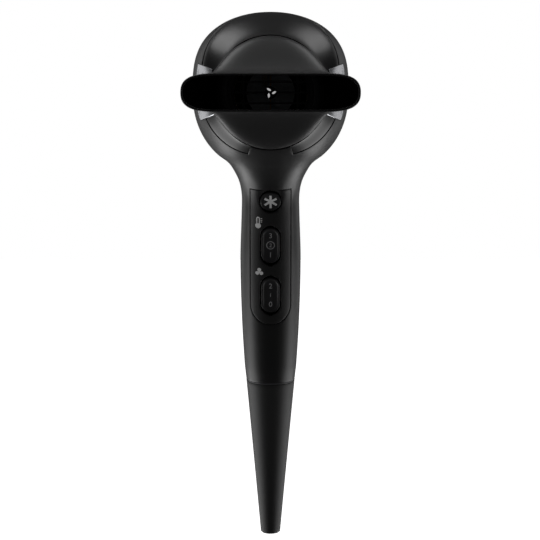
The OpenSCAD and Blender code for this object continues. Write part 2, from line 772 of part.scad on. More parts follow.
module heater_leads() {
    color("#7a2020") for (s = [-1, 1]) {
        path = [
            [s * 7.5, -7.5, 44], [s * 8, -9.5, 50], [s * 8.5, -12, 56], [s * 9, -14, 62],
            [s * 9, -15, 67], [s * 8.6, -15.3, 70.6]
        ];
        tube(path, 0.9, 8);
    }
}
module shell_screw(z, seat_y, len) {
    translate([0, seat_y - len, z]) rotate([-90, 0, 0]) {
        cylinder(r = 1.15, h = len + 0.5, $fn = fine);
        translate([0, 0, len + 0.05]) cylinder(r = 2.6, h = 1.8, $fn = fine);
    }
}
module shell_screws() {
    color("#7d7f83") {
        shell_screw(upper_screw_z, upper_seat_y, 38);
        shell_screw(lower_screw_z, lower_seat_y, 18);
    }
}

// ---------------------------------------------------------------- filter cap

cap_steps = 6;
cap_sides = 40;
function cap_point(y, a, off) =
    let (
        v = (y - head_y) / head_rear,
        s = signed_pow(sin(a), 2 / ring_n),
        z = s * (s > 0 ? head_top * dome(v, crown_round, crown_rise) : head_low * dome(v, low_n)),
        wide = max(0, pow(head_share(z), ring_n) - pow(v, ring_n)),
        x = sign(round(90 * cos(a))) * head_half_w * pow(wide, 1 / ring_n),
        inset = 1 - off / norm([x, z])
    )
    [x * inset, y, axis_h + z * inset];
module filter_cap() {
    front = rear_cut_y + 0.3;
    color("#1d1d1f") union() {
        loft([for (i = [0:cap_sides - 1]) let (a = 360 * i / cap_sides) concat(
            [for (j = [0:cap_steps]) cap_point(mix(front, cap_back, j / cap_steps), a, j == cap_steps ? 1.2 : 0)],
            [for (j = [cap_steps:-1:0]) cap_point(mix(front, cap_back, j / cap_steps), a, cap_wall)]
        )], ring = true, turn = true);
        on_axis(cap_back - 2) linear_extrude(height = 1.8) difference() {
            polygon([for (a = [0:9:351]) let (p = cap_point(cap_back - 2, a, 1.6)) [p[0], axis_h - p[2]]]);
            for (i = [-5:5]) translate([i * 4.2, 0])
                square([2.2, 2 * sqrt(pow(24.6, 2) - pow(i * 4.2, 2))], center = true);
        }
        on_axis(56) ring(skirt_r - skirt_wall, skirt_r, 11);
        on_axis(front) ring(skirt_r - skirt_wall, 34, 1.4);
    }
}
module filter_frame() {
    color("#303034") on_axis(63.5) ring(27.5, skirt_r - skirt_wall - 0.3, 3);
}
module filter_mesh() {
    color("#8a8c90") on_axis(64.5) cylinder(r = 27.4, h = 0.6, $fn = fine);
}

front_shell();
rear_shell();
bezel();
side_trims();
switch_panel();
seam_ring();
tail_sleeve();
cord_gland();
barrel();
outlet_spigot();
outlet_grille();
mica_sleeve();
mica_boards();
heater_winding();
thermostat();
thermal_fuse();
fan_duct();
motor_can();
motor_magnets();
motor_end_plate();
motor_bearings();
brush_holder();
intake_guard();
temperature_switch();
speed_switch();
cold_shot_switch();
rocker_pins();
button_spring();
control_board();
capacitor();
heater_leads();
shell_screws();
cord_clamp();
clamp_screws();
motor_shaft();
armature();
commutator();
fan();
fan_clip();
nozzle_collar();
nozzle();
nozzle_skirt();
nozzle_ring();
cold_shot_button();
temperature_rocker();
speed_rocker();
filter_cap();
filter_mesh();
filter_frame();
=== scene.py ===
import logging
import math
from dataclasses import dataclass, field
from enum import Enum
from functools import cached_property
from typing import Any, Callable, Sequence

import bmesh
import bpy
import numpy as np
from mathutils import Matrix, Vector
from mathutils.bvhtree import BVHTree
from mathutils.geometry import delaunay_2d_cdt


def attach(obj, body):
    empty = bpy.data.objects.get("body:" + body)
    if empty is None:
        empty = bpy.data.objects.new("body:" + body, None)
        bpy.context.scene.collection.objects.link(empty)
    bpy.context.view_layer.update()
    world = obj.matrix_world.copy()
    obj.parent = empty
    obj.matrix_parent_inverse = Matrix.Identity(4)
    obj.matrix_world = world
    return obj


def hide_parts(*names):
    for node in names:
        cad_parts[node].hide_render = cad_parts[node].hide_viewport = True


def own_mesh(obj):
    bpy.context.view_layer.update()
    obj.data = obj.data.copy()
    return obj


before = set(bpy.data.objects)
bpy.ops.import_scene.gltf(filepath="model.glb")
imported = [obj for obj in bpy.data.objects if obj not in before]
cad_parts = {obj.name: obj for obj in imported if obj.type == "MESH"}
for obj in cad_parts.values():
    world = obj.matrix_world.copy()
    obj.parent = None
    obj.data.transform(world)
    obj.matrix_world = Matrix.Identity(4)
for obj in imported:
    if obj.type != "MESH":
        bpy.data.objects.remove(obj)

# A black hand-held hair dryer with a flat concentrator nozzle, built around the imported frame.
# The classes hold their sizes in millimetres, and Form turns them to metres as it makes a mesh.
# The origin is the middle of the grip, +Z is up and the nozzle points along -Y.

MM = 0.001
log = logging.getLogger("hair_dryer")
Point = tuple[float, float]
Loop = list[Vector]


# ---------------------------------------------------------------- curves


def mix(a: float, b: float, t: float) -> float:
    """Returns the value a share t of the way from a to b."""
    return a + (b - a) * t


def clamp01(t: float) -> float:
    """Returns t held between 0 and 1."""
    return min(1.0, max(0.0, t))


def ease(t: float) -> float:
    """Returns t with a soft start and a soft end."""
    return t * t * (3 - 2 * t)


def signed_pow(v: float, p: float) -> float:
    """Returns |v| to the power p, with the sign of v."""
    return math.copysign(abs(v) ** p, v)


def dome(u: float, n: float, m: float | None = None) -> float:
    """Returns the height of a superellipse over u from -1 to 1: power n along u, and m across it."""
    return max(0.0, 1 - min(1.0, abs(u)) ** n) ** (1 / (m or n))


def cosd(a: float) -> float:
    """Returns the cosine of an angle in degrees, exactly 0 at a quarter turn."""
    return round(math.cos(math.radians(a)), 12)


def sind(a: float) -> float:
    """Returns the sine of an angle in degrees, exactly 0 at a half turn."""
    return round(math.sin(math.radians(a)), 12)


def steps(start: float, end: float, count: int) -> list[float]:
    """Returns count + 1 evenly spaced numbers from start to end."""
    return [mix(start, end, i / count) for i in range(count + 1)]


def table_at(rows: Sequence[Sequence[float]], h: float, k: int) -> float:
    """Follows a smooth curve through the rows of a table.

    Args:
        rows: Rows whose first entry runs steadily up or down.
        h: Where to read the curve, in the first column's terms.
        k: The column to read.

    Returns:
        The value of column k at h.
    """
    last = len(rows) - 1
    spans = (j for j in range(last - 1) if (h - rows[j][0]) * (h - rows[j + 1][0]) <= 0)
    i = next(spans, last - 1)
    span = rows[i + 1][0] - rows[i][0]
    t = (h - rows[i][0]) / span
    slopes = []
    for j in (i, i + 1):
        a, b = rows[max(0, j - 1)], rows[min(last, j + 1)]
        slopes.append((b[k] - a[k]) / (b[0] - a[0]))
    bend = span * t * (1 - t) * ((1 - t) * slopes[0] - t * slopes[1])
    return mix(rows[i][k], rows[i + 1][k], ease(t)) + bend


def spaced(loop: Sequence[Point], pitch: float, closed: bool = True) -> list[Point]:
    """Adds points along a line so that no two neighbours are further apart than pitch.

    Args:
        loop: The line's corners.
        pitch: The widest gap allowed.
        closed: Whether the last point joins the first.

    Returns:
        The finer line.
    """
    out: list[Point] = []
    count = len(loop)
    for i in range(count if closed else count - 1):
        p, q = loop[i], loop[(i + 1) % count]
        parts = max(1, math.ceil(math.dist(p, q) / pitch))
        out += [(mix(p[0], q[0], j / parts), mix(p[1], q[1], j / parts)) for j in range(parts)]
    return out if closed else out + [loop[-1]]


def stadium(w: float, length: float, count: int = 64) -> list[Point]:
    """Returns the outline of a slot with round ends, of width w and the given length along Y."""
    straight = (length - w) / 2
    out = []
    for i in range(count):
        a = 360 * (i + 0.5) / count
        out.append((w / 2 * cosd(a), w / 2 * sind(a) + math.copysign(straight, sind(a))))
    return out


def circle(r: float, count: int = 48) -> list[Point]:
    """Returns the corners of a circle of radius r."""
    return [(r * cosd(360 * i / count), r * sind(360 * i / count)) for i in range(count)]


# ---------------------------------------------------------------- meshes


class Turn(Enum):
    """How a mesh's faces are made to point outwards."""

    CLOSED = "closed"
    FROM_CENTRE = "from_centre"
    AS_BUILT = "as_built"


@dataclass
class Form:
    """Points in millimetres and faces, gathered from lofts and skins."""

    verts: list[Vector] = field(default_factory=list)
    faces: list[tuple[int, ...]] = field(default_factory=list)
    marks: dict[int, int] = field(default_factory=dict)

    def loft(self, loops: Sequence[Loop], ring: bool = False, closed: bool = True,
             caps: bool = False, mark: int = 0) -> "Form":
        """Adds a surface between loops of equal length.

        Args:
            loops: The loops, in order.
            ring: Whether the last loop joins the first.
            closed: Whether each loop's last point joins its first.
            caps: Whether the first and last loops are closed with a fan to their middle.
            mark: The number of the material that the surface gets.

        Returns:
            This form.
        """
        base, rows, cols = len(self.verts), len(loops), len(loops[0])
        first = len(self.faces)
        self.verts += [p for loop in loops for p in loop]
        for r in range(rows if ring else rows - 1):
            a, b = base + r * cols, base + ((r + 1) % rows) * cols
            for c in range(cols if closed else cols - 1):
                d = (c + 1) % cols
                self.faces.append((a + c, a + d, b + d, b + c))
        if caps:
            for row, flip in ((0, True), (rows - 1, False)):
                start = base + row * cols
                middle = len(self.verts)
                self.verts.append(sum(loops[row], Vector()) / cols)
                for c in range(cols):
                    edge = (start + c, start + (c + 1) % cols)
                    self.faces.append((*(edge[::-1] if flip else edge), middle))
        if mark:
            self.marks.update(dict.fromkeys(range(first, len(self.faces)), mark))
        return self

    def moved(self, matrix: Matrix) -> "Form":
        """Returns this form with all its points carried by a matrix in millimetres."""
        self.verts = [matrix @ v for v in self.verts]
        return self

    def add(self, *others: "Form") -> "Form":
        """Returns this form with other forms added to it."""
        for other in others:
            base, first = len(self.verts), len(self.faces)
            self.verts += other.verts
            self.faces += [tuple(base + i for i in f) for f in other.faces]
            self.marks.update({first + i: m for i, m in other.marks.items()})
        return self

    def mesh(self, name: str, turn: Turn = Turn.CLOSED, centre: Vector | None = None) -> bpy.types.Mesh:
        """Makes a Blender mesh in metres.

        Args:
            name: The mesh's name.
            turn: How its faces are made to point outwards.
            centre: The point that they face away from, or None for the middle of the mesh.

        Returns:
            The mesh, with doubled points merged.
        """
        mesh = bpy.data.meshes.new(name)
        mesh.from_pydata([v * MM for v in self.verts], [], self.faces)
        mesh.polygons.foreach_set("material_index", [self.marks.get(i, 0) for i in range(len(self.faces))])
        bm = bmesh.new()
        bm.from_mesh(mesh)
        bmesh.ops.remove_doubles(bm, verts=bm.verts, dist=2e-6)
        bmesh.ops.dissolve_degenerate(bm, edges=bm.edges, dist=1e-7)
        if turn is Turn.CLOSED:
            bmesh.ops.recalc_face_normals(bm, faces=bm.faces)
        if turn is Turn.FROM_CENTRE:
            middle = centre * MM if centre else sum((v.co for v in bm.verts), Vector()) / len(bm.verts)
            outward = sum((f.calc_center_median() - middle).dot(f.normal) * f.calc_area() for f in bm.faces)
            if outward < 0:
                bmesh.ops.reverse_faces(bm, faces=bm.faces)
        bm.to_mesh(mesh)
        bm.free()
        return mesh


def inside(points: np.ndarray, loop: Sequence[Point]) -> np.ndarray:
    """Says which points lie inside a closed loop.

    Args:
        points: One point a row.
        loop: The loop's corners.

    Returns:
        True for each point that lies inside.
    """
    p = np.asarray(loop, float)
    q = np.roll(p, -1, 0)
    x, y = points[:, :1], points[:, 1:]
    rise = np.where(q[:, 1] == p[:, 1], 1e-12, q[:, 1] - p[:, 1])
    across = (q[:, 0] - p[:, 0]) * (y - p[:, 1]) / rise + p[:, 0]
    hits = ((p[:, 1] > y) != (q[:, 1] > y)) & (x < across)
    return hits.sum(1) % 2 == 1


@dataclass
class Skin:
    """A sheet that is cut from a flat plan and laid on a curved surface."""

    outer: Sequence[Point]
    lift: Callable[[float, float], Vector]
    pitch: float = 1.6
    holes: Sequence[Sequence[Point]] = ()
    lines: Sequence[Sequence[Point]] = ()

    def form(self) -> Form:
        """Returns the sheet as triangles, with its edges and its inner lines kept."""
        loops = [spaced(loop, self.pitch) for loop in (self.outer, *self.holes)]
        points: list[Point] = []
        edges: list[tuple[int, int]] = []
        for loop in loops:
            base = len(points)
            points += loop
            edges += [(base + i, base + (i + 1) % len(loop)) for i in range(len(loop))]
        for line in self.lines:
            base = len(points)
            finer = spaced(line, self.pitch, closed=False)
            points += finer
            edges += [(base + i, base + i + 1) for i in range(len(finer) - 1)]
        low, high = np.min(self.outer, 0), np.max(self.outer, 0)
        rows = []
        for j, y in enumerate(np.arange(low[1], high[1], self.pitch * 0.87)):
            xs = np.arange(low[0] + (j % 2) * self.pitch / 2, high[0], self.pitch)
            rows.append(np.stack([xs, np.full_like(xs, y)], 1))
        filling = np.concatenate(rows)
        keep = inside(filling, loops[0])
        for loop in loops[1:]:
            keep &= ~inside(filling, loop)
        filling = filling[keep]
        edge_points = np.asarray(points, float)
        gaps = [np.hypot(*(edge_points - p).T).min() for p in filling]
        filling = filling[np.asarray(gaps) > self.pitch * 0.6]
        every = [Vector(p) for p in points] + [Vector(p) for p in filling]
        flat, _, faces, *_ = delaunay_2d_cdt(every, edges, [], 0, 1e-7, False)
        middles = np.asarray([np.mean([flat[i] for i in f], 0) for f in faces])
        keep = inside(middles, loops[0])
        for loop in loops[1:]:
            keep &= ~inside(middles, loop)
        kept = [tuple(f) for f, k in zip(faces, keep) if k]
        return Form([self.lift(p.x, p.y) for p in flat], kept)


def baked(piece: bpy.types.Object) -> bpy.types.Object:
    """Turns a piece's modifiers into plain mesh and removes them.

    Args:
        piece: A mesh object with modifiers.

    Returns:
        The same object.
    """
    bpy.context.view_layer.update()
    graph = bpy.context.evaluated_depsgraph_get()
    mesh = bpy.data.meshes.new_from_object(piece.evaluated_get(graph))
    piece.modifiers.clear()
    old, piece.data = piece.data, mesh
    bpy.data.meshes.remove(old)
    mesh.name = piece.name
    return piece


def new_piece(name: str, mesh: bpy.types.Mesh) -> bpy.types.Object:
    """Returns a new object at the origin that shows a mesh."""
    piece = bpy.data.objects.new(name, mesh)
    bpy.context.scene.collection.objects.link(piece)
    return piece


@dataclass(frozen=True)
class Place:
    """Where a piece belongs in the frame."""

    body: str
    nodes: tuple[str, ...] = ()
    slot: str | None = None


def settle(piece: bpy.types.Object, place: Place, finishes: Sequence[bpy.types.Material],
           smooth: float = 35.0) -> bpy.types.Object:
    """Gives a finished mesh its materials and its shading, and ties it to the frame.

    Args:
        piece: The object, at the origin.
        place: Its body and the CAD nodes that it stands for.
        finishes: Its materials, in the order of the mesh's material numbers.
        smooth: Edges sharper than this many degrees stay sharp.

    Returns:
        The same object.
    """
    mesh = piece.data
    numbers = [p.material_index for p in mesh.polygons]
    mesh.materials.clear()
    for finish in finishes:
        mesh.materials.append(finish)
    mesh.polygons.foreach_set("material_index", [min(n, len(finishes) - 1) for n in numbers])
    mesh.shade_smooth()
    mesh.set_sharp_from_angle(angle=math.radians(smooth))
    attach(piece, place.body)
    if place.nodes:
        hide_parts(*place.nodes)
    log.info("%s: %d faces, rides on %s", piece.name, len(mesh.polygons), place.body)
    return piece


@dataclass(frozen=True)
class Edge:
    """How a sheet or a block is finished: its wall, and the rounding of its sharp edges."""

    wall: float = 0.0
    round: float = 0.0
    round_steps: int = 3
    sharper_than: float = 50.0
    centre: Vector | None = None


def make(name: str, form: Form, place: Place, finishes: Sequence[bpy.types.Material],
         edge: Edge = Edge(), turn: Turn = Turn.CLOSED, smooth: float = 35.0) -> bpy.types.Object:
    """Makes one piece from a form.

    Args:
        name: The piece's name.
        form: Its shape.
        place: Where it belongs in the frame.
        finishes: Its materials.
        edge: Its wall and its rounding.
        turn: How its faces are made to point outwards.
        smooth: Edges sharper than this many degrees stay sharp.

    Returns:
        The piece.
    """
    piece = new_piece(name, form.mesh(name, turn, edge.centre))
    if edge.wall:
        solid = piece.modifiers.new("Wall", "SOLIDIFY")
        solid.thickness = edge.wall * MM
        solid.offset = -1.0
    if edge.round:
        bevel = piece.modifiers.new("Rounding", "BEVEL")
        bevel.width = edge.round * MM
        bevel.segments = edge.round_steps
        bevel.limit_method = "ANGLE"
        bevel.angle_limit = math.radians(edge.sharper_than)
        bevel.use_clamp_overlap = False
    if piece.modifiers:
        baked(piece)
    return settle(piece, place, finishes, smooth)


# ---------------------------------------------------------------- node trees


def add_node(tree: bpy.types.NodeTree, kind: str, settings: dict[str, Any] | None = None,
             inputs: dict[Any, Any] | None = None) -> bpy.types.Node:
    """Adds one node with its settings and its links.

    Args:
        tree: The tree that gets the node.
        kind: The node's type.
        settings: Its attributes.
        inputs: What each input socket holds or is linked to, by name or by number.

    Returns:
        The node.
    """
    node = tree.nodes.new(kind)
    for key, value in (settings or {}).items():
        setattr(node, key, value)
    for key, value in (inputs or {}).items():
        if isinstance(value, bpy.types.NodeSocket):
            tree.links.new(value, node.inputs[key])
        else:
            node.inputs[key].default_value = value
    return node


def linear(colour: str) -> tuple[float, float, float, float]:
    """Returns an sRGB hex colour as linear red, green, blue and full alpha."""
    parts = [int(colour[i:i + 2], 16) / 255 for i in (1, 3, 5)]
    turned = [c / 12.92 if c <= 0.04045 else ((c + 0.055) / 1.055) ** 2.4 for c in parts]
    return (*turned, 1.0)


class Surface(Enum):
    """How a surface was made, which decides the pattern that it carries."""

    SPARKED = "sparked"      # moulded against a spark-eroded steel face: fine even pimples
    POLISHED = "polished"    # moulded against a polished face: only faint waves and smudges
    BRUSHED = "brushed"      # drawn or brushed along one way: long fine lines
    CAST = "cast"            # pressed or cast: soft blotches and a coarse skin
    LAYERED = "layered"      # split or pressed from flakes: flat plates of changing tone


@dataclass(frozen=True)
class Finish:
    """One real material and how its surface was made."""

    name: str
    colour: str
    roughness: float
    surface: Surface = Surface.SPARKED
    second: str | None = None
    metallic: float = 0.0
    ior: float = 1.5
    coat: float = 0.0
    coat_roughness: float = 0.05
    sheen: float = 0.0
    grain: float = 0.5
    depth: float = 0.02
    spread: float = 0.05
    along: tuple[float, float, float] = (1.0, 1.0, 1.0)
    glow: float = 0.0

    def build(self) -> bpy.types.Material:
        """Returns the material: a Principled shader with colour, roughness and bump from its pattern."""
        material = bpy.data.materials.new(self.name)
        material.use_nodes = True
        tree = material.node_tree
        shader = tree.nodes["Principled BSDF"]
        place = add_node(tree, "ShaderNodeTexCoord").outputs["Object"]
        mapping = add_node(tree, "ShaderNodeMapping", None, {"Vector": place, "Scale": self.along})
        stretched = mapping.outputs[0]
        fine = self.pattern(tree, stretched)
        broad = add_node(tree, "ShaderNodeTexNoise", None, {
            "Vector": stretched, "Scale": 28.0, "Detail": 3.0})
        tone = add_node(tree, "ShaderNodeMix", {"data_type": "RGBA"}, {
            "Factor": broad.outputs[0], "A": linear(self.colour), "B": linear(self.second or self.colour)})
        shades = [s for s in tone.outputs if s.type == "RGBA"][0]
        tree.links.new(shades, shader.inputs["Base Color"])
        rough = add_node(tree, "ShaderNodeMapRange", None, {
            "Value": broad.outputs[0] if self.surface is Surface.POLISHED else fine,
            "To Min": self.roughness - self.spread, "To Max": self.roughness + self.spread})
        tree.links.new(rough.outputs[0], shader.inputs["Roughness"])
        bump = add_node(tree, "ShaderNodeBump", None, {
            "Height": fine, "Distance": self.depth * MM, "Strength": 1.0})
        tree.links.new(bump.outputs[0], shader.inputs["Normal"])
        shader.inputs["Metallic"].default_value = self.metallic
        shader.inputs["IOR"].default_value = self.ior
        shader.inputs["Coat Weight"].default_value = self.coat
        shader.inputs["Coat Roughness"].default_value = self.coat_roughness
        shader.inputs["Sheen Weight"].default_value = self.sheen
        shader.inputs["Emission Strength"].default_value = self.glow
        return material

    def pattern(self, tree: bpy.types.NodeTree, place: bpy.types.NodeSocket) -> bpy.types.NodeSocket:
        """Adds the fine pattern's nodes.

        Args:
            tree: The material's tree.
            place: The coordinates that the pattern is read at, in metres.

        Returns:
            The pattern's height, from 0 to 1.
        """
        scale = 1 / (self.grain * MM)
        if self.surface is Surface.LAYERED:
            cells = add_node(tree, "ShaderNodeTexVoronoi", None, {"Vector": place, "Scale": scale})
            return cells.outputs["Distance"]
        detail = {Surface.SPARKED: 3.0, Surface.POLISHED: 1.0, Surface.BRUSHED: 4.0}.get(self.surface, 2.0)
        noise = add_node(tree, "ShaderNodeTexNoise", None, {
            "Vector": place, "Scale": scale, "Detail": detail})
        return noise.outputs[0]


class Finishes:
    """Every finish on the dryer, built once and kept by a short name."""

    def __init__(self) -> None:
        """Builds the materials."""
        # Soft satin ABS, moulded against a spark-eroded face: the pimples spread each light into a
        # wide grey band. They are drawn at 0.6 mm, far coarser than real, so that they show at all.
        self.shell = Finish("satin_abs_black", "#0e0e0f", 0.4, second="#0c0c0d", grain=0.6,
                            depth=0.010).build()
        # The concentrator is glass-filled nylon, a little duller than the shell.
        self.nozzle = Finish("glass_filled_nylon_black", "#0e0e0f", 0.42, second="#0c0c0d", grain=0.7,
                             depth=0.012).build()
        # Inner faces of the concentrator, left rough from the mould, painted near black with a low IOR:
        # painted shade for the dark inside of the slot.
        self.nozzle_inside_painted_shade = Finish("nylon_inside_painted_shade", "#020202", 0.85, grain=1.2, depth=0.03,
                                    ior=1.1).build()
        # Piano-black acrylic ring, moulded against a mirror face: sharp reflections, faint waves.
        self.bezel = Finish("acrylic_piano_black", "#060607", 0.34, Surface.POLISHED, second="#08080a",
                            grain=24.0, depth=0.02, spread=0.02).build()
        # Zinc inserts, satin chromed and brushed along the barrel.
        self.trim = Finish("satin_chrome", "#dcdde0", 0.26, Surface.BRUSHED, second="#c9cacf", metallic=1.0,
                           grain=0.5, depth=0.006, along=(1.0, 0.08, 1.0)).build()
        # The switch panel is the same ABS, moulded a shade darker and finer.
        self.panel = Finish("satin_abs_panel", "#0f0f10", 0.46, second="#0d0d0e", grain=0.5,
                            depth=0.008).build()
        # Rockers and button: nylon with a fine eroded face that the fingers have half polished.
        self.control = Finish("nylon_control_grey", "#1c1c1e", 0.45, second="#18181a", grain=0.45,
                              depth=0.016).build()
        # Pad-printed ink, a thin matt film.
        self.ink_white = Finish("pad_print_white", "#e4e4e4", 0.6, Surface.CAST, second="#e8e8e8", grain=0.4,
                                depth=0.004).build()
        self.ink_grey = Finish("pad_print_grey", "#a8a8aa", 0.6, Surface.CAST, second="#9c9c9e", grain=0.4,
                               depth=0.004).build()
        # Thermoplastic rubber sleeve and gland: dull with a soft bloom at grazing angles.
        self.rubber = Finish("thermoplastic_rubber", "#0d0d0e", 0.55, Surface.CAST, second="#0b0b0c",
                             sheen=0.06, grain=0.8, depth=0.012).build()
        # The seam ring is ABS painted a light grey: a painted highlight, so that it shows as a thin light
        # line where light catches the seam.
        self.ring = Finish("seam_ring_painted_highlight", "#4c4c50", 0.4, Surface.POLISHED, second="#464649", grain=6.0,
                           depth=0.01).build()
        # Heat-proof polyamide of the barrel, duct and collar.
        self.barrel = Finish("heatproof_polyamide", "#232327", 0.5, second="#1d1d20", grain=0.8,
                             depth=0.02).build()
        self.grille = Finish("polyamide_grille_black", "#0d0d0e", 0.5, second="#0a0a0b", grain=0.6).build()
        # Muscovite mica boards: pale flakes pressed into sheets.
        self.mica = Finish("muscovite_mica", "#c9b48a", 0.38, Surface.LAYERED, second="#a98f5c", grain=3.0,
                           depth=0.03).build()
        # Nichrome resistance wire, drawn and dulled by heat.
        self.wire = Finish("nichrome_wire", "#5f5850", 0.42, Surface.BRUSHED, second="#4a443d", metallic=1.0,
                           grain=0.3, depth=0.004).build()
        # The three drops of the grille's centre are painted white with a faint glow: painted glints, standing
        # in for the bright marks of light at the hub.
        self.painted_glint_white = Finish("painted_glint_white_glow", "#ffffff", 0.2, Surface.POLISHED, second="#f6f6f6",
                             grain=8.0, depth=0.004, spread=0.02, glow=0.4).build()
        self.steel = Finish("zinc_plated_steel", "#b9bbbe", 0.3, Surface.BRUSHED, second="#a4a6aa",
                            metallic=1.0, grain=0.4, depth=0.006).build()
        self.magnet = Finish("sintered_ferrite", "#4a4a4e", 0.6, Surface.CAST, second="#3d3d41", grain=0.9,
                             depth=0.03).build()
        self.nylon = Finish("natural_nylon", "#e4dfd2", 0.42, second="#d9d3c4", grain=0.8, depth=0.01).build()
        self.bronze = Finish("sintered_bronze", "#b0884a", 0.45, Surface.CAST, second="#94703a", metallic=1.0,
                             grain=0.5, depth=0.02).build()
        self.carbon = Finish("brush_carbon", "#2c2c2e", 0.7, Surface.CAST, second="#242426", grain=0.6,
                             depth=0.03).build()
        self.copper = Finish("enamelled_copper", "#b9683a", 0.32, Surface.BRUSHED, second="#9c5228",
                             metallic=1.0, grain=0.4, depth=0.02, along=(1.0, 0.1, 1.0)).build()
        self.impeller = Finish("polypropylene_impeller", "#3a3d42", 0.4, second="#33363a", grain=0.9,
                               depth=0.01).build()
        self.board = Finish("epoxy_glass_board", "#2c6a3a", 0.35, Surface.LAYERED, second="#24592f",
                            grain=1.6,
                            depth=0.01).build()
        self.capacitor = Finish("film_capacitor_case", "#d8b544", 0.4, second="#c8a538", grain=0.8,
                                depth=0.01).build()
        self.lead = Finish("silicone_lead", "#7e2222", 0.5, Surface.CAST, second="#6d1c1c", grain=0.6,
                           depth=0.01).build()
        self.mesh = Finish("woven_stainless", "#9c9ea2", 0.34, Surface.BRUSHED, second="#86888c",
                           metallic=1.0,
                           grain=0.3, depth=0.004).build()


# ---------------------------------------------------------------- the outline


@dataclass(frozen=True)
class Outline:
    """The outer form of head and handle: level rings whose heights are counted from the barrel axis."""

    half_w: float = 42.5
    top: float = 43.75
    low: float = 44.0
    front: float = 64.0
    rear: float = 120.0
    split_y: float = -16.0
    ring_n: float = 2.45
    crown_rise: float = 3.0
    crown_round: float = 2.0
    low_n: float = 2.15
    axis_h: float = 100.0
    lean: float = 0.268
    lean_curve: float = 0.000685
    join_h: float = -34.0
    seam_h: float = -159.8
    seam_shear: float = 0.155
    shear_top: float = -50.0
    rear_cut: float = 62.0
    blend: float = 8.0

    def head_section(self, h: float) -> tuple[float, float, float]:
        """Returns half width, front depth and rear depth of the head's ring at height h."""
        f = self.head_share(h)
        return self.half_w * f, self.front * f, self.rear * f

    def head_share(self, h: float) -> float:
        """Returns how wide the head is at height h, as a share of its widest ring."""
        if h >= 0:
            return dome(h / self.top, self.crown_rise, self.crown_round)
        return dome(h / self.low, self.low_n)

    def head_height(self, v: float, up: bool) -> float:
        """Returns how high, or how low, the head reaches a share v of the way to its rear end."""
        return self.top * dome(v, self.crown_round, self.crown_rise) if up else self.low * dome(v, self.low_n)

    @cached_property
    def stations(self) -> list[tuple[float, ...]]:
        """Returns the neck's and the grip's rings: height, half width, front depth, rear depth."""
        return [
            (-31.0, *self.head_section(-31.0)),
            (self.join_h, *self.head_section(self.join_h)),
            (-38.0, 23.2, 36.8, 65.0),
            (-42.0, 20.3, 30.4, 48.0),
            (-48.5, 17.2, 23.4, 29.0),
            (-56.0, 15.85, 19.8, 20.5),
            (-66.0, 15.95, 18.5, 18.5),
            (-92.0, 16.75, 18.2, 18.2),
            (-124.0, 16.1, 17.6, 17.6),
            (-151.0, 14.65, 16.2, 16.2),
            (self.seam_h, 13.75, 15.2, 15.2),
        ]

    def section(self, h: float) -> tuple[float, float, float]:
        """Returns half width, front depth and rear depth of the ring at height h."""
        if h > self.join_h:
            return self.head_section(h)
        return tuple(table_at(self.stations, h, k) for k in (1, 2, 3))

    def grip_y(self, h: float) -> float:
        """Returns where the handle's leaning centre line lies at height h."""
        z = h + self.axis_h
        return -(self.lean * z + self.lean_curve * z * z)

    def part_y(self, h: float) -> float:
        """Returns where the two shells meet at height h."""
        g = self.grip_y(h)
        over = max(self.blend - abs(g - self.split_y), 0) / self.blend
        return max(g, self.split_y) + over * over * self.blend / 4

    def shear(self, h: float) -> float:
        """Returns how far a ring slopes, as rise over run."""
        return self.seam_shear * ease(clamp01((self.shear_top - h) / (self.shear_top - self.seam_h)))

    def point(self, h: float, a: float, off: float = 0.0) -> Vector:
        """Finds a point of the outline.

        Args:
            h: The ring's height.
            a: The angle round it in degrees: 0 is +X, 90 the front, 270 the rear.
            off: How far inside the surface the point lies.

        Returns:
            The point, in millimetres.
        """
        c = signed_pow(cosd(a), 2 / self.ring_n)
        d = signed_pow(sind(a), 2 / self.ring_n)
        if h > 0:
            k = self.head_share(h)
            deep = (self.front if d > 0 else self.rear) - off
            return Vector(((self.half_w - off) * k * c, self.split_y - deep * k * d,
                           self.axis_h + h * (self.top - off) / self.top))
        s = self.section(h)
        y = -((s[1] if d > 0 else s[2]) - off) * d
        return Vector(((s[0] - off) * c, self.part_y(h) + y, self.axis_h + h + self.shear(h) * y))

    def front_y(self, h: float) -> float:
        """Returns how far forward the ring at height h reaches."""
        return self.part_y(h) - self.section(h)[1]

    def face_frame(self, h: float) -> Matrix:
        """Returns the place of a control: its Z stands out of the handle's front, its Y runs up it."""
        tilt = math.atan((self.front_y(h - 1) - self.front_y(h + 1)) / 2)
        origin = Vector((0, self.front_y(h), self.axis_h + h - self.shear(h) * self.section(h)[1]))
        return Matrix.Translation(origin) @ Matrix.Rotation(math.radians(90) + tilt, 4, "X")

    def rise(self, h: float) -> float:
        """Returns height h as a length along the head's side, which the skins are planned in."""
        return self.top * math.asin(min(1.0, h / self.top)) if h > 0 else h

    def height(self, v: float) -> float:
        """Returns the height that a planned length v stands for."""
        return self.top * math.sin(min(v / self.top, math.pi / 2)) if v > 0 else v

    def angle(self, x: float, deep: float, h: float, back: bool = False) -> float:
        """Finds the angle round a ring of a point that lies on it.

        Args:
            x: The point's place across.
            deep: Its distance from the parting plane.
            h: The ring's height.
            back: Whether it lies on the rear half.

        Returns:
            The angle in degrees.
        """
        s = self.section(h)
        c = (abs(x) / s[0]) ** (self.ring_n / 2)
        d = (deep / s[2 if back else 1]) ** (self.ring_n / 2)
        a = math.degrees(math.atan2(d, c))
        a = 180 - a if x < 0 else a
        return 360 - a if back else a

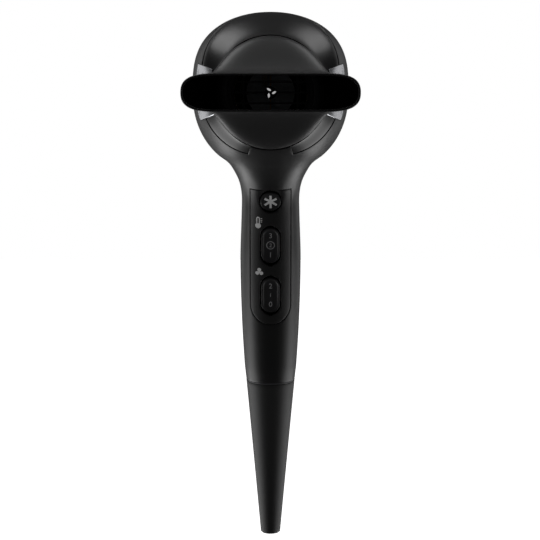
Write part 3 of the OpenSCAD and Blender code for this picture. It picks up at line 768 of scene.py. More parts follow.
    def on_front(self, x: float, z: float) -> Vector:
        """Finds the outline's front surface.

        Args:
            x: The place across.
            z: The height in the frame.

        Returns:
            The ring's angle, the ring's height and the surface's Y.
        """
        h, deep = z - self.axis_h, 0.0
        for _ in range(7):
            s = self.section(h)
            side = min(1.0, (abs(x) / s[0]) ** self.ring_n)
            deep = s[1] * (1 - side) ** (1 / self.ring_n)
            h = z - self.axis_h + self.shear(h) * deep
        return Vector((self.angle(x, deep, h), h, self.part_y(h) - deep))

    def project(self, frame_of_face: Matrix, x: float, y: float) -> Vector:
        """Drops a point of a control's plane onto the outline along the plane's normal.

        Args:
            frame_of_face: The control's place.
            x: The point's place across the plane.
            y: Its place up the plane.

        Returns:
            The point on the outline, in millimetres.
        """
        out = (frame_of_face.to_3x3() @ Vector((0, 0, 1))).normalized()
        p = frame_of_face @ Vector((x, y, 0))
        for _ in range(4):
            p = p + out * (self.on_front(p.x, p.z).z - p.y) / out.y
        return p


@dataclass(frozen=True)
class Rim:
    """The edge where the front shell gives way to the bezel, and the curves round it."""

    outline: Outline
    front: float = 50.0
    radius: float = 30.2
    drop: float = 0.35
    chin: float = 20.0
    trim_half: float = 21.5
    trim_back: float = 30.5
    gap: float = 0.15

    def depth(self, h: float) -> float:
        """Returns how far forward the shell reaches at height h."""
        stations = ((46, 2), (38, 18.5), (31, 29.5), (17, 37), (0, 39), (-14, 39.8), (-24, 41.8), (-36, 44))
        return table_at(stations, h, 1)

    def reach(self, h: float, deep: float) -> float:
        """Returns the head's half width at height h and depth deep, or -1 outside it."""
        s = self.outline.head_section(h)
        return -1.0 if deep >= s[1] else s[0] * dome(deep / s[1], self.outline.ring_n)

    def solve(self, holds: Callable[[float], bool], low: float, high: float) -> float:
        """Returns the largest radius between low and high at which a test still holds."""
        for _ in range(22):
            r = (low + high) / 2
            low, high = (r, high) if holds(r) else (low, r)
        return (low + high) / 2

    def head_radius(self, t: float, deep: float) -> float:
        """Returns the head's radius at angle t from the top and depth deep."""
        return self.solve(lambda r: self.reach(r * cosd(t), deep) >= abs(r * sind(t)), 20, 50)

    def rim_radius(self, t: float) -> float:
        """Returns the radius at which the rim crosses the head at angle t from the top."""
        return self.solve(
            lambda r: self.reach(r * cosd(t), self.depth(r * cosd(t))) >= abs(r * sind(t)), 20, 46)

    def at(self, t: float, r: float, deep: float) -> Vector:
        """Returns the point at angle t from the top, radius r and depth deep."""
        return Vector((r * sind(t), self.outline.split_y - deep, self.outline.axis_h + r * cosd(t)))

    def plan(self, t: float, r: float, deep: float) -> Point:
        """Returns the place of such a point on the front shell's flat plan."""
        h = r * cosd(t)
        return ShellPlan.SCALE * self.outline.angle(r * sind(t), deep, h), self.outline.rise(h)

    def opening(self) -> list[Point]:
        """Returns the bezel's opening in the front shell's plan."""
        half: list[Point] = []
        notch = self.trim_half + 0.4
        low, high = 90 - notch, 90 + notch
        for t in steps(0, low, 34):
            half.append(self.plan(t, self.rim_radius(t), self.depth(self.rim_radius(t) * cosd(t))))
        for t in steps(low, high, 22):
            half.append(self.plan(t, self.head_radius(t, self.trim_back), self.trim_back))
        chin = 180 - self.chin
        for t in steps(high, chin, 24):
            half.append(self.plan(t, self.rim_radius(t), self.depth(self.rim_radius(t) * cosd(t))))
        for t in steps(chin, 180, 10):
            r = self.radius + self.gap
            h = r * cosd(t)
            s = self.outline.head_section(h)
            side = (r * sind(t) / s[0]) ** self.outline.ring_n
            half.append(self.plan(t, r, s[1] * (1 - side) ** (1 / self.outline.ring_n)))
        mirror = [(180 * ShellPlan.SCALE - u, v) for u, v in half[-2:0:-1]]
        return half + mirror


@dataclass(frozen=True)
class ShellPlan:
    """The flat plan of a shell: the angle round a ring across, the length up the side upwards."""

    outline: Outline
    SCALE = 0.5

    def lift(self, u: float, v: float) -> Vector:
        """Returns the outline's point for a place on the plan."""
        return self.outline.point(self.outline.height(v), u / self.SCALE)

    def edge(self, back: bool) -> list[Point]:
        """Returns the plan's outer edge for the front or the rear shell."""
        start = 180.0 if back else 0.0
        top = self.outline.rise(self.outline.top) - 0.2
        low, high = start * self.SCALE, (start + 180) * self.SCALE
        foot = self.outline.seam_h
        return [(low, foot), (high, foot), (high, top), (low, top)]

    def crown(self, back: bool) -> Form:
        """Returns the small cap that closes a shell's top."""
        top = self.outline.height(self.outline.rise(self.outline.top) - 0.2)
        start = 180.0 if back else 0.0
        ring = [self.outline.point(top, start + a) for a in steps(0, 180, 56)]
        return Form(ring, [(i, i + 1, len(ring) - 1) for i in range(len(ring) - 2)])


# ---------------------------------------------------------------- shells


@dataclass(frozen=True)
class Shells:
    """The two half shells of head and handle, with their screw posts."""

    outline: Outline
    rim: Rim
    panel_half: float = 11.1
    panel_top: float = 40.0
    panel_reach: float = 27.4
    wall: float = 2.2
    rounding: float = 0.3
    upper_z: float = 58.0
    lower_z: float = -37.0

    def panel_plan(self, grow: float) -> list[Point]:
        """Returns the switch panel's outline in its own plane, grown by a gap."""
        half = self.panel_half + grow
        bowl = [(half * cosd(a), -self.panel_reach + half * sind(a)) for a in steps(180, 360, 40)]
        return [(half, self.panel_top + grow), (-half, self.panel_top + grow), *bowl]

    def panel_hole(self) -> list[Point]:
        """Returns the panel's opening in the front shell's plan."""
        place = self.outline.face_frame(-90.0)
        out = []
        for x, y in spaced(self.panel_plan(0.15), 1.4):
            p = self.outline.project(place, x, y)
            found = self.outline.on_front(p.x, p.z)
            out.append((ShellPlan.SCALE * found.x, found.y))
        return out

    def rear_hole(self) -> list[Point]:
        """Returns the opening at the rear cut in the rear shell's plan."""
        o = self.outline
        cut = o.rear_cut - o.split_y
        hole = []
        for a in steps(0, 357, 119):
            h = o.head_height(cut / o.rear, sind(a) > 0) * signed_pow(sind(a), 2 / o.ring_n)
            s = o.section(h)
            side = math.copysign(s[0] * dome(cut / s[2], o.ring_n), cosd(a))
            hole.append((ShellPlan.SCALE * o.angle(side, cut, h, back=True), o.rise(h)))
        return hole

    def post(self, z: float, start: float, end: float, outer: float, bore: float) -> Form:
        """Returns a screw post along Y, from start to end, with a blind bore drawn as a tube."""
        def ring(r: float, y: float) -> Loop:
            """Returns a circle of radius r round the post at y."""
            return [Vector((r * cosd(a), y, z + r * sind(a))) for a in range(0, 360, 12)]
        rings = [ring(outer, start), ring(outer, end), ring(bore, end), ring(bore, start)]
        return Form().loft(rings, ring=True)

    def build(self, finishes: Finishes) -> None:
        """Makes both shells."""
        plan = ShellPlan(self.outline)
        front = Skin(plan.edge(False), plan.lift, 1.5, [self.rim.opening(), self.panel_hole()]).form()
        front.add(plan.crown(False))
        make("front_shell_skin", front, Place("housing", ("front_shell",), "shell_plastic"),
             [finishes.shell], Edge(self.wall, self.rounding), Turn.FROM_CENTRE, 40)
        rear = Skin(plan.edge(True), plan.lift, 1.7, [self.rear_hole()]).form()
        rear.add(plan.crown(True))
        make("rear_shell_skin", rear, Place("housing", ("rear_shell",), "shell_plastic"), [finishes.shell],
             Edge(self.wall, self.rounding), Turn.FROM_CENTRE, 40)
        posts = Form()
        posts.add(self.post(self.upper_z, -39.5, -16.3, 3.4, 1.2), self.post(self.upper_z, -14, 20, 3.4, 1.7))
        low_y = self.outline.part_y(self.lower_z - 100)
        posts.add(self.post(self.lower_z, -6.9, low_y - 0.2, 3.4, 1.2),
                  self.post(self.lower_z, low_y + 0.2, 23, 3.4, 1.7))
        make("screw_posts", posts, Place("housing", (), "shell_plastic"), [finishes.shell])


# ---------------------------------------------------------------- head front


@dataclass(frozen=True)
class HeadFront:
    """The glossy ring round the outlet and its two bright inserts."""

    rim: Rim
    wall: float = 1.4
    columns: int = 200
    rows: int = 24
    bevel_band: float = 4.2
    insert_depth: float = 0.6

    def bezel_point(self, t: float, u: float) -> tuple[float, float, float]:
        """Returns radius, depth and the rim's depth on the bezel at angle t, a share u of the way in."""
        r0 = self.rim.rim_radius(t)
        d0 = self.rim.depth(r0 * cosd(t)) + self.rim.gap
        deep = mix(d0, self.rim.front, sind(90 * u))
        r = mix(self.rim.head_radius(t, deep) - self.rim.drop, self.rim.radius, ease(u))
        return r, deep, d0

    def bezel(self) -> Form:
        """Returns the ring, closed at its two ends beside the chin."""
        end = 180 - self.rim.chin
        loops = []
        for t in steps(-end, end, self.columns):
            outer = [self.bezel_point(t, u) for u in steps(0, 1, self.rows)]
            loop = [self.rim.at(t, r, d) for r, d, _ in outer]
            loop += [self.rim.at(t, r - self.wall, max(d0, d - self.wall)) for r, d, d0 in reversed(outer)]
            loops.append(loop)
        return Form().loft(loops, caps=True)

    def insert(self, side: int) -> Form:
        """Returns one insert: a bevelled frame round a sunk middle.

        Args:
            side: 1 for the right one, -1 for the left one.

        Returns:
            The insert's front sheet.
        """
        half = self.rim.trim_half
        low, high = self.rim.trim_back + self.rim.gap, self.rim.front - 0.8
        loops = []
        for a in steps(-half, half, 40):
            loop = []
            for d in steps(low, high, 30):
                t = side * 90 + a
                r = self.rim.head_radius(t, d)
                to_edge = min((half - abs(a)) * math.pi / 180 * r, (d - low) * 1.1)
                sunk = ease(clamp01(to_edge / self.bevel_band)) * self.insert_depth
                loop.append(self.rim.at(t, r + 0.18 - sunk, d))
            loops.append(loop)
        return Form().loft(loops, closed=False)

    def build(self, finishes: "Finishes") -> None:
        """Makes the ring and its inserts."""
        make("bezel_ring", self.bezel(), Place("housing", ("bezel",), "bezel_plastic"), [finishes.bezel],
             Edge(round=0.2, round_steps=2, sharper_than=60), smooth=40)
        both = Form().add(self.insert(1), self.insert(-1))
        axis = Vector((0, self.rim.outline.split_y, self.rim.outline.axis_h))
        make("side_inserts", both, Place("housing", ("side_trims",), "trim_metal"), [finishes.trim],
             Edge(wall=0.8, round=0.15, round_steps=2, centre=axis), Turn.FROM_CENTRE, 30)


# ---------------------------------------------------------------- concentrator


def lathe(profile: Sequence[Point], axis_h: float, sides: int = 96) -> Form:
    """Turns a closed profile about the barrel axis.

    Args:
        profile: Its corners as radius and Y.
        axis_h: The barrel axis's height.
        sides: How many steps go round.

    Returns:
        The ring.
    """
    loops = [[Vector((r * cosd(a), y, axis_h + r * sind(a))) for r, y in profile]
             for a in (360 * i / sides for i in range(sides))]
    return Form().loft(loops, ring=True)


@dataclass(frozen=True)
class Concentrator:
    """The flat nozzle and the collar that it turns on."""

    axis_h: float = 100.0
    base_y: float = -67.0
    length: float = 51.0
    base_r: float = 29.3
    mouth_w: float = 90.4
    mouth_h: float = 19.6
    wall: float = 1.3
    side_n: float = 8.0
    top_n: float = 2.4
    flatten_at: float = 0.26
    flatten_len: float = 0.56
    flare_at: float = 0.42
    lip_at: float = 0.985
    lip_deep: float = 0.6
    quarter: int = 30
    rows: int = 46

    def point(self, t: float, a: float, off: float, y: float | None = None) -> Vector:
        """Finds a point of the nozzle.

        Args:
            t: The share of its length, from base to mouth.
            a: The angle round it.
            off: How far inside the outer surface the point lies.
            y: Its Y, where that isn't the one that t gives.

        Returns:
            The point in millimetres.
        """
        s = ease(clamp01((t - self.flatten_at) / self.flatten_len))
        q = clamp01((t - self.flare_at) / (1 - self.flare_at))
        w = mix(self.base_r, self.mouth_w / 2, q * q * (1.6 - 0.6 * q)) - off
        d = mix(self.base_r, self.mouth_h / 2, s) - off
        x = w * signed_pow(cosd(a), 2 / mix(2, self.side_n, s))
        z = d * signed_pow(sind(a), 2 / mix(2, self.top_n, s))
        return Vector((x, self.base_y - self.length * t if y is None else y, self.axis_h + z))

    def angles(self) -> list[float]:
        """Returns the angles round the nozzle, close together at its top, bottom and sides."""
        out = []
        for i in range(4 * self.quarter):
            q = i / self.quarter
            out.append(90 * (q - 0.85 * math.sin(2 * math.pi * q) / (2 * math.pi)))
        return out

    def shell(self) -> Form:
        """Returns the nozzle with its round lip, its inner wall marked as the second material."""
        outer, inner = [], []
        lip = self.wall / 2
        mouth_y = self.base_y - self.length
        for a in self.angles():
            line = [self.point(t, a, 0.0) for t in steps(0, self.lip_at, self.rows)]
            for q in steps(0, 180, 8):
                line.append(self.point(1.0, a, lip - lip * cosd(q), mouth_y + self.lip_deep * (1 - sind(q))))
            outer.append(line)
            back = [self.point(t, a, self.wall) for t in steps(self.lip_at, 0, self.rows)]
            inner.append([line[-1]] + back + [line[0]])
        return Form().loft(outer, ring=True, closed=False).loft(inner, ring=True, closed=False, mark=1)

    def build(self, finishes: "Finishes") -> None:
        """Makes the nozzle and its collar."""
        place = Place("concentrator", ("nozzle", "nozzle_skirt"), "nozzle_plastic")
        # The inner wall's second material is painted shade: near black, for the dark inside of the slot.
        make("concentrator_nozzle", self.shell(), place, [finishes.nozzle, finishes.nozzle_inside_painted_shade], smooth=60)
        # Each corner's radius and Y.
        collar = [(22.56, -69.2), (22.56, -79.6), (26.36, -79.6), (26.36, -78.4), (24.96, -78.4),
                  (24.96, -70.3), (26.76, -70.3), (26.76, -69.2)]
        make("collar_ring", lathe(collar, self.axis_h), Place("collar", ("nozzle_collar",), "barrel_plastic"),
             [finishes.barrel], Edge(round=0.25, round_steps=2))


# ---------------------------------------------------------------- handle front


@dataclass(frozen=True)
class Print:
    """Flat marks that are laid on a surface as a thin film."""

    target: Form
    place: Matrix
    film: float = 0.05

    def drape(self, flat: Form) -> Form:
        """Drops flat marks along the place's Z onto the target.

        Args:
            flat: Marks in the place's XY plane.

        Returns:
            The marks, on the target.
        """
        tree = BVHTree.FromPolygons([tuple(v) for v in self.target.verts], self.target.faces)
        down = -(self.place.to_3x3() @ Vector((0, 0, 1))).normalized()
        laid = []
        for v in flat.verts:
            start = self.place @ Vector((v.x, v.y, 0)) - down * 8
            hit = tree.ray_cast(start, down)[0]
            laid.append((hit if hit else start + down * 8) - down * self.film)
        return Form(laid, list(flat.faces))

    def build(self, name: str, flat: Form, place: Place, finish: bpy.types.Material) -> None:
        """Makes one printed mark."""
        out = self.place @ Vector((0, 0, -400))
        edge = Edge(wall=self.film * 0.8, centre=out)
        make(name, self.drape(flat), place, [finish], edge, Turn.FROM_CENTRE, 60)


def shape(outer: Sequence[Point], holes: Sequence[Sequence[Point]] = (), pitch: float = 0.45) -> Form:
    """Returns a flat mark with the given outline and holes."""
    return Skin(outer, lambda x, y: Vector((x, y, 0)), pitch, holes).form()


def shifted(points: Sequence[Point], x: float, y: float) -> list[Point]:
    """Returns points moved by x and y."""
    return [(px + x, py + y) for px, py in points]


def numeral(digit: str, height: float, x: float, y: float) -> Form:
    """Draws one figure as a flat mark.

    Args:
        digit: The figure.
        height: Its height.
        x: Its middle across.
        y: Its middle up.

    Returns:
        The mark.
    """
    curve = bpy.data.curves.new(f"figure_{digit}", "FONT")
    curve.body = digit
    curve.size = height / 0.69
    curve.resolution_u = 4
    text = new_piece(curve.name, curve)
    bpy.context.view_layer.update()
    mesh = bpy.data.meshes.new_from_object(text.evaluated_get(bpy.context.evaluated_depsgraph_get()))
    verts = [v.co.copy() for v in mesh.vertices]
    middle = (Vector(map(min, *verts)) + Vector(map(max, *verts))) / 2
    form = Form([v - middle + Vector((x, y, 0)) for v in verts], [tuple(p.vertices) for p in mesh.polygons])
    bpy.data.objects.remove(text)
    bpy.data.curves.remove(curve)
    bpy.data.meshes.remove(mesh)
    return form


@dataclass(frozen=True)
class Controls:
    """The switch panel with its button, its two rockers and their marks."""

    outline: Outline
    shells: Shells
    button_h: float = -59.3
    temperature_h: float = -83.0
    speed_h: float = -110.0
    panel_h: float = -90.0
    button_r: float = 5.6
    hole_r: float = 6.3
    window: tuple[float, float] = (11.6, 22.8)
    notch: tuple[float, float] = (1.9, 0.35)
    rocker: tuple[float, float] = (10.5, 20.5)
    scoop_r: float = 9.0
    scoop_deep: float = 2.0
    dish_r: float = 30.0
    spring_reach: tuple[float, float] = (-11.45, -7.15)
    spring_turns: int = 3
    spring_r: float = 2.6
    wire_r: float = 0.25
    press: float = 1.8

    def panel_hole(self, h: float, outline: Sequence[Point]) -> list[Point]:
        """Returns a control's opening, carried from its own plane to the panel's."""
        carry = self.outline.face_frame(self.panel_h).inverted() @ self.outline.face_frame(h)
        return [tuple((carry @ Vector((x, y, 0)))[:2]) for x, y in outline]

    def panel(self) -> Form:
        """Returns the panel's face, with a finger scoop above the button."""
        place = self.outline.face_frame(self.panel_h)
        inward = -(place.to_3x3() @ Vector((0, 0, 1)))
        scoop = Vector(self.panel_hole(self.button_h, [(0.0, 5.2)])[0])

        def lift(x: float, y: float) -> Vector:
            """Returns the face's point for a place on the panel's plane."""
            near = clamp01(1 - (Vector((x, y)) - scoop).length / self.scoop_r)
            return self.outline.project(place, x, y) + inward * self.scoop_deep * ease(near)

        holes = [self.panel_hole(self.button_h, circle(self.hole_r, 72))]
        window = [(x, y + math.copysign(self.notch[1] * dome(x / self.notch[0], 2), y))
                  for x, y in stadium(*self.window, 120)]
        holes += [self.panel_hole(h, window) for h in (self.temperature_h, self.speed_h)]
        return Skin(self.shells.panel_plan(0.0), lift, 1.1, holes).form()

    def button(self) -> Form:
        """Returns the dished cold-shot button, in its own frame."""
        profile = [(self.button_r, -6.0), (self.button_r, -1.2), (5.52, -0.85), (5.32, -0.6), (5.0, -0.47)]
        for r in steps(4.6, 0.3, 12):
            profile.append((r, self.dish_r - 0.9 - math.sqrt(self.dish_r ** 2 - r ** 2)))
        loops = [[Vector((x, y, z)) for x, y in circle(r, 72)] for r, z in profile]
        return Form().loft(loops, caps=True)

    def spring(self) -> Form:
        """Returns the button's return spring, a wire wound round its stem."""
        low, high = self.spring_reach
        loops = []
        for a in range(0, 360 * self.spring_turns + 1, 15):
            out = Vector((cosd(a), sind(a), 0.0))
            rise = mix(low + self.wire_r, high - self.wire_r, a / (360 * self.spring_turns))
            middle = out * self.spring_r + Vector((0, 0, rise))
            loops.append([middle + (out * cosd(b) + Vector((0, 0, sind(b)))) * self.wire_r
                          for b in range(0, 360, 45)])
        return Form().loft(loops, caps=True)

    def rocker_face(self) -> Form:
        """Returns a rocker: a block with a raised lip round a shallow dish, in its own frame."""
        w, length = self.rocker
        rows = [(0.0, -8.2), (0.0, -1.2), (0.06, -0.9), (0.2, -0.68), (0.42, -0.56), (0.7, -0.55),
                (0.95, -0.62), (1.25, -0.85), (1.6, -1.1), (2.0, -1.22), (2.6, -1.27), (3.4, -1.28),
                (4.2, -1.28), (4.9, -1.28)]
        loops = []
        for inset, z in rows:
            sunk = clamp01((inset - 0.8) / 1.2)
            loops.append([Vector((x, y, z + sunk * 0.45 * (y / length * 2) ** 2))
                          for x, y in stadium(w - 2 * inset, length - 2 * inset, 96)])
        return Form().loft(loops, caps=True)

    def lever(self) -> Form:
        """Returns the short lever under a rocker that works its switch."""
        corners = ((-1.5, -2), (1.5, -2), (1.5, 2), (-1.5, 2))
        loops = [[Vector((x, y, z)) for x, y in corners] for z in (-9.8, -8.0)]
        return Form().loft(loops, caps=True)

    def star(self) -> Form:
        """Returns the six-armed star of the cold-shot button."""
        arm, half = 3.75, 0.62
        outline = []
        for k in range(6):
            a = 90 + 60 * k
            outline.append((2 * half * cosd(a - 30), 2 * half * sind(a - 30)))
            for side in (-1, 1):
                outline.append((arm * cosd(a) - side * half * sind(a), arm * sind(a) + side * half * cosd(a)))
        return shape(outline)

    def thermometer(self, x: float, y: float) -> Form:
        """Returns a thermometer: a hollow stem on a full bulb, with three scale lines beside it."""
        arch = [(0.95 * cosd(a), 2.3 + 0.95 * sind(a)) for a in steps(0, 180, 12)]
        bowl = [(1.55 * cosd(a), -1.9 + 1.55 * sind(a)) for a in steps(128, 412, 24)]
        hollow = [(0.42 * cosd(a), 2.2 + 0.42 * sind(a)) for a in steps(0, 180, 8)]
        hollow += [(-0.42, -0.6), (0.42, -0.6)]
        form = shape(shifted(arch + bowl, x, y), [shifted(hollow, x, y)])
        for k in range(3):
            tick = [(1.35, 0.15 + k), (2.25, 0.15 + k), (2.25, 0.55 + k), (1.35, 0.55 + k)]
            form.add(shape(shifted(tick, x, y)))
        return form

    def propeller(self, x: float, y: float) -> Form:
        """Returns a fan: three round blades about a hub."""
        form = shape(shifted(circle(0.5, 16), x, y))
        for a in (90, 210, 330):
            blade = [(1.3 * cosd(a) + 1.05 * cosd(b), 1.3 * sind(a) + 1.05 * sind(b))
                     for b in range(0, 360, 20)]
            form.add(shape(shifted(blade, x, y)))
        return form

    def build(self, finishes: "Finishes") -> None:
        """Makes the panel, the controls and their marks."""
        panel = self.panel()
        centre = Vector((0, 20, 20))
        make("switch_panel_face", panel, Place("housing", ("switch_panel",), "panel_plastic"),
             [finishes.panel], Edge(wall=2.0, round=0.42, round_steps=4, centre=centre), Turn.FROM_CENTRE, 40)
        place = self.outline.face_frame(self.button_h)
        button = self.button().moved(place)
        stem = [[Vector((x, y, z)) for x, y in circle(1.5, 24)] for z in (-11, -5.9)]
        flange = [[Vector((x, y, z)) for x, y in circle(6.8, 48)] for z in (-7, -5.8)]
        whole = Form().add(button, Form().loft(stem, caps=True).moved(place),
                           Form().loft(flange, caps=True).moved(place))
        make("cold_shot_key", whole, Place("cold_button", ("cold_shot_button",), "control_plastic"),
             [finishes.control], smooth=40)
        coil = make("button_coil", self.spring().moved(place), Place("housing", ("button_spring",), "steel"),
                    [finishes.steel], smooth=60)
        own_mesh(coil)
        Print(button, place).build("cold_shot_star", self.star(), Place("cold_button", (), "ink"),
                                   finishes.ink_white)
        ring = shape(circle(2.35, 40), [circle(1.95, 36)])
        rows = (
            ("temperature", self.temperature_h, "heat_rocker", (("3", 5.6), ("2", 0.0), ("1", -5.5)),
             Form().add(ring)),
            ("speed", self.speed_h, "fan_rocker", (("2", 5.3), ("1", 0.0), ("0", -5.4)), Form()),
        )
        for name, h, body, figures, marks in rows:
            frame_of_face = self.outline.face_frame(h)
            rocker = self.rocker_face().moved(frame_of_face)
            key = Form().add(rocker, self.lever().moved(frame_of_face))
            make(f"{name}_key", key, Place(body, (f"{name}_rocker",), "control_plastic"), [finishes.control],
                 smooth=50)
            for digit, y in figures:
                marks.add(numeral(digit, 2.1 if marks.faces and y == 0 else 2.9, 0.0, y))
            Print(rocker, frame_of_face).build(f"{name}_figures", marks, Place(body, (), "ink"),
                                               finishes.ink_grey)
        signs = (("thermometer_sign", self.temperature_h, self.thermometer(-6.8, 13.5)),
                 ("fan_sign", self.speed_h, self.propeller(-6.2, 13.7)))
        for name, h, sign in signs:
            Print(panel, self.outline.face_frame(h)).build(name, sign, Place("housing", (), "ink"),
                                                           finishes.ink_white)


# ---------------------------------------------------------------- tail


@dataclass(frozen=True)
class Tail:
    """The tapered sleeve below the seam and the ring in the seam."""

    outline: Outline
    end_h: float = -251.0
    top: tuple[float, float] = (13.7, 15.1)
    end_r: float = 5.5
    rows: int = 40
    sides: int = 96

    def point(self, t: float, a: float, off: float) -> Vector:
        """Returns the sleeve's point a share t of the way down, at angle a, off inside the surface."""
        h = mix(self.outline.seam_h - 0.8, self.end_h, t)
        w = mix(self.top[0], self.end_r, t) - off
        d = mix(self.top[1], self.end_r, t) - off
        n = mix(self.outline.ring_n, 2, t)
        y = -d * signed_pow(sind(a), 2 / n)
        rise = mix(self.outline.seam_shear, 0, ease(t)) * y
        x = w * signed_pow(cosd(a), 2 / n)
        return Vector((x, self.outline.grip_y(h) + y, self.outline.axis_h + h + rise))

    def sleeve(self) -> Form:
        """Returns the sleeve, open at both ends for the cord."""
        loops = []
        for i in range(self.sides):
            a = 360 * i / self.sides
            line = [self.point(t, a, 0.0) for t in steps(0, 1, self.rows)]
            line += [self.point(t, a, mix(2.0, 0.88, t)) for t in steps(1, 0, self.rows)]
            loops.append(line)
        return Form().loft(loops, ring=True)

    def ring(self) -> Form:
        """Returns the seam's ring, set a little below the surface."""
        profile = ((0.05, 0.3), (0.2, 0.2), (0.6, 0.2), (0.75, 0.3), (0.75, 2.4), (6, 2.7), (6, 3.7),
                   (-6, 3.5), (-6, 2.5), (0.05, 2.4))
        loops = []
        for i in range(self.sides):
            a = 360 * i / self.sides
            loop = []
            for drop, off in profile:
                h = self.outline.seam_h - drop
                y = -(15.2 - off) * signed_pow(sind(a), 2 / self.outline.ring_n)
                x = (13.75 - off) * signed_pow(cosd(a), 2 / self.outline.ring_n)
                loop.append(Vector((x, self.outline.grip_y(h) + y,
                                    self.outline.axis_h + h + self.outline.seam_shear * y)))
            loops.append(loop)
        return Form().loft(loops, ring=True)

    def build(self, finishes: "Finishes") -> None:
        """Makes the sleeve and its ring."""
        make("tail_sleeve_skin", self.sleeve(), Place("housing", ("tail_sleeve",), "tail_rubber"),
             [finishes.rubber], Edge(round=0.35, round_steps=3, sharper_than=60), smooth=45)
        # The ring's light grey is a painted highlight for the light caught in the seam.
        make("seam_ring_band", self.ring(), Place("housing", ("seam_ring",), "shell_plastic"),
             [finishes.ring], smooth=40)


# ---------------------------------------------------------------- what repeats


class Tree:
    """A geometry node tree with named inputs, applied to a piece and turned to plain mesh."""

    def __init__(self, name: str, sizes: dict[str, Any]) -> None:
        """Starts the tree.

        Args:
            name: The tree's name.
            sizes: Its named inputs and what each holds, in metres, radians or counts.
        """
        self.group = bpy.data.node_groups.new(name, "GeometryNodeTree")
        self.sizes = sizes
        face = self.group.interface
        face.new_socket("Geometry", in_out="INPUT", socket_type="NodeSocketGeometry")
        for key, value in sizes.items():
            kind = "Int" if isinstance(value, int) else "Vector" if isinstance(value, tuple) else "Float"
            face.new_socket(key, in_out="INPUT", socket_type=f"NodeSocket{kind}")
        face.new_socket("Finish", in_out="INPUT", socket_type="NodeSocketMaterial")
        face.new_socket("Geometry", in_out="OUTPUT", socket_type="NodeSocketGeometry")
        self.start = self.group.nodes.new("NodeGroupInput")

    def node(self, kind: str, settings: dict[str, Any] | None = None,
             inputs: dict[Any, Any] | None = None) -> bpy.types.Node:
        """Adds one node to the tree."""
        return add_node(self.group, kind, settings, inputs)

    def maths(self, operation: str, a: Any, b: Any = 0.0) -> bpy.types.NodeSocket:
        """Returns the result of one sum."""
        return self.node("ShaderNodeMath", {"operation": operation}, {0: a, 1: b}).outputs[0]

    def vector(self, x: Any = 0.0, y: Any = 0.0, z: Any = 0.0) -> bpy.types.NodeSocket:
        """Returns a vector of three numbers."""
        return self.node("ShaderNodeCombineXYZ", None, {"X": x, "Y": y, "Z": z}).outputs[0]

    def close(self, geometry: bpy.types.NodeSocket) -> None:
        """Ends the tree: the copies become real mesh and take their finish."""
        real = self.node("GeometryNodeRealizeInstances", None, {"Geometry": geometry})
        dressed = self.node("GeometryNodeSetMaterial", None, {
            "Geometry": real.outputs[0], "Material": self.start.outputs["Finish"]})
        self.node("NodeGroupOutput", None, {"Geometry": dressed.outputs[0]})

    def form(self, finish: bpy.types.Material, seed_form: Form | None = None) -> Form:
        """Runs the tree.

        Args:
            finish: The material that its mesh takes.
            seed_form: The shape that it repeats, if any.

        Returns:
            The result as a form in millimetres.
        """
        start = (seed_form or Form([Vector()], [])).mesh(self.group.name)
        piece = new_piece(self.group.name, start)
        modifier = piece.modifiers.new(self.group.name, "NODES")
        modifier.node_group = self.group
        sockets = {i.name: i.identifier for i in self.group.interface.items_tree if i.in_out == "INPUT"}
        for key, value in self.sizes.items():
            modifier[sockets[key]] = value
        modifier[sockets["Finish"]] = finish
        mesh = baked(piece).data
        out = Form([v.co / MM for v in mesh.vertices], [tuple(p.vertices) for p in mesh.polygons])
        bpy.data.objects.remove(piece)
        bpy.data.meshes.remove(mesh)
        return out


def bar_tree(name: str, count: int, pitch: float, radius: float, width: float, deep: float, y: float,
             turn: float, axis_h: float, rods: bool = False) -> Tree:
    """Grows parallel bars across a round opening, each as long as the opening is there.

    Args:
        name: The tree's name.
        count: How many bars.
        pitch: Their spacing.
        radius: The opening's radius.
        width: A bar's width, or a rod's diameter.
        deep: A bar's depth along Y.
        y: The Y of their middle.
        turn: Degrees from upright about the barrel axis.
        axis_h: The barrel axis's height.
        rods: Whether they are round rods.

    Returns:
        The tree.
    """
    tree = Tree(name, {"Count": count, "Pitch": pitch * MM, "Radius": radius * MM, "Width": width * MM,
                       "Depth": deep * MM, "Turn": math.radians(turn), "Place": (0.0, y * MM, axis_h * MM)})
    size = tree.start.outputs
    span = tree.maths("MULTIPLY", tree.maths("SUBTRACT", size["Count"], 1.0), size["Pitch"])
    line = tree.node("GeometryNodeMeshLine", None, {
        "Count": size["Count"], "Start Location": tree.vector(tree.maths("MULTIPLY", span, -0.5)),
        "Offset": tree.vector(size["Pitch"])})
    spot = tree.node("GeometryNodeInputPosition").outputs[0]
    x = tree.node("ShaderNodeSeparateXYZ", None, {0: spot}).outputs[0]
    room = tree.maths("SUBTRACT", tree.maths("POWER", size["Radius"], 2.0), tree.maths("MULTIPLY", x, x))
    length = tree.maths("MULTIPLY", tree.maths("SQRT", tree.maths("MAXIMUM", room, 1e-8)), 2.0)
    if rods:
        bar = tree.node("GeometryNodeMeshCylinder", None, {
            "Vertices": 6, "Radius": tree.maths("MULTIPLY", size["Width"], 0.5), "Depth": 1.0})
    else:
        bar_size = tree.vector(size["Width"], size["Depth"], 1.0)
        bar = tree.node("GeometryNodeMeshCube", None, {"Size": bar_size})
    bars = tree.node("GeometryNodeInstanceOnPoints", None, {
        "Points": line.outputs[0], "Instance": bar.outputs[0], "Scale": tree.vector(1.0, 1.0, length)})
    moved = tree.node("GeometryNodeTransform", None, {
        "Geometry": bars.outputs[0], "Translation": size["Place"],
        "Rotation": tree.vector(0.0, size["Turn"], 0.0)})
    tree.close(moved.outputs[0])
    return tree


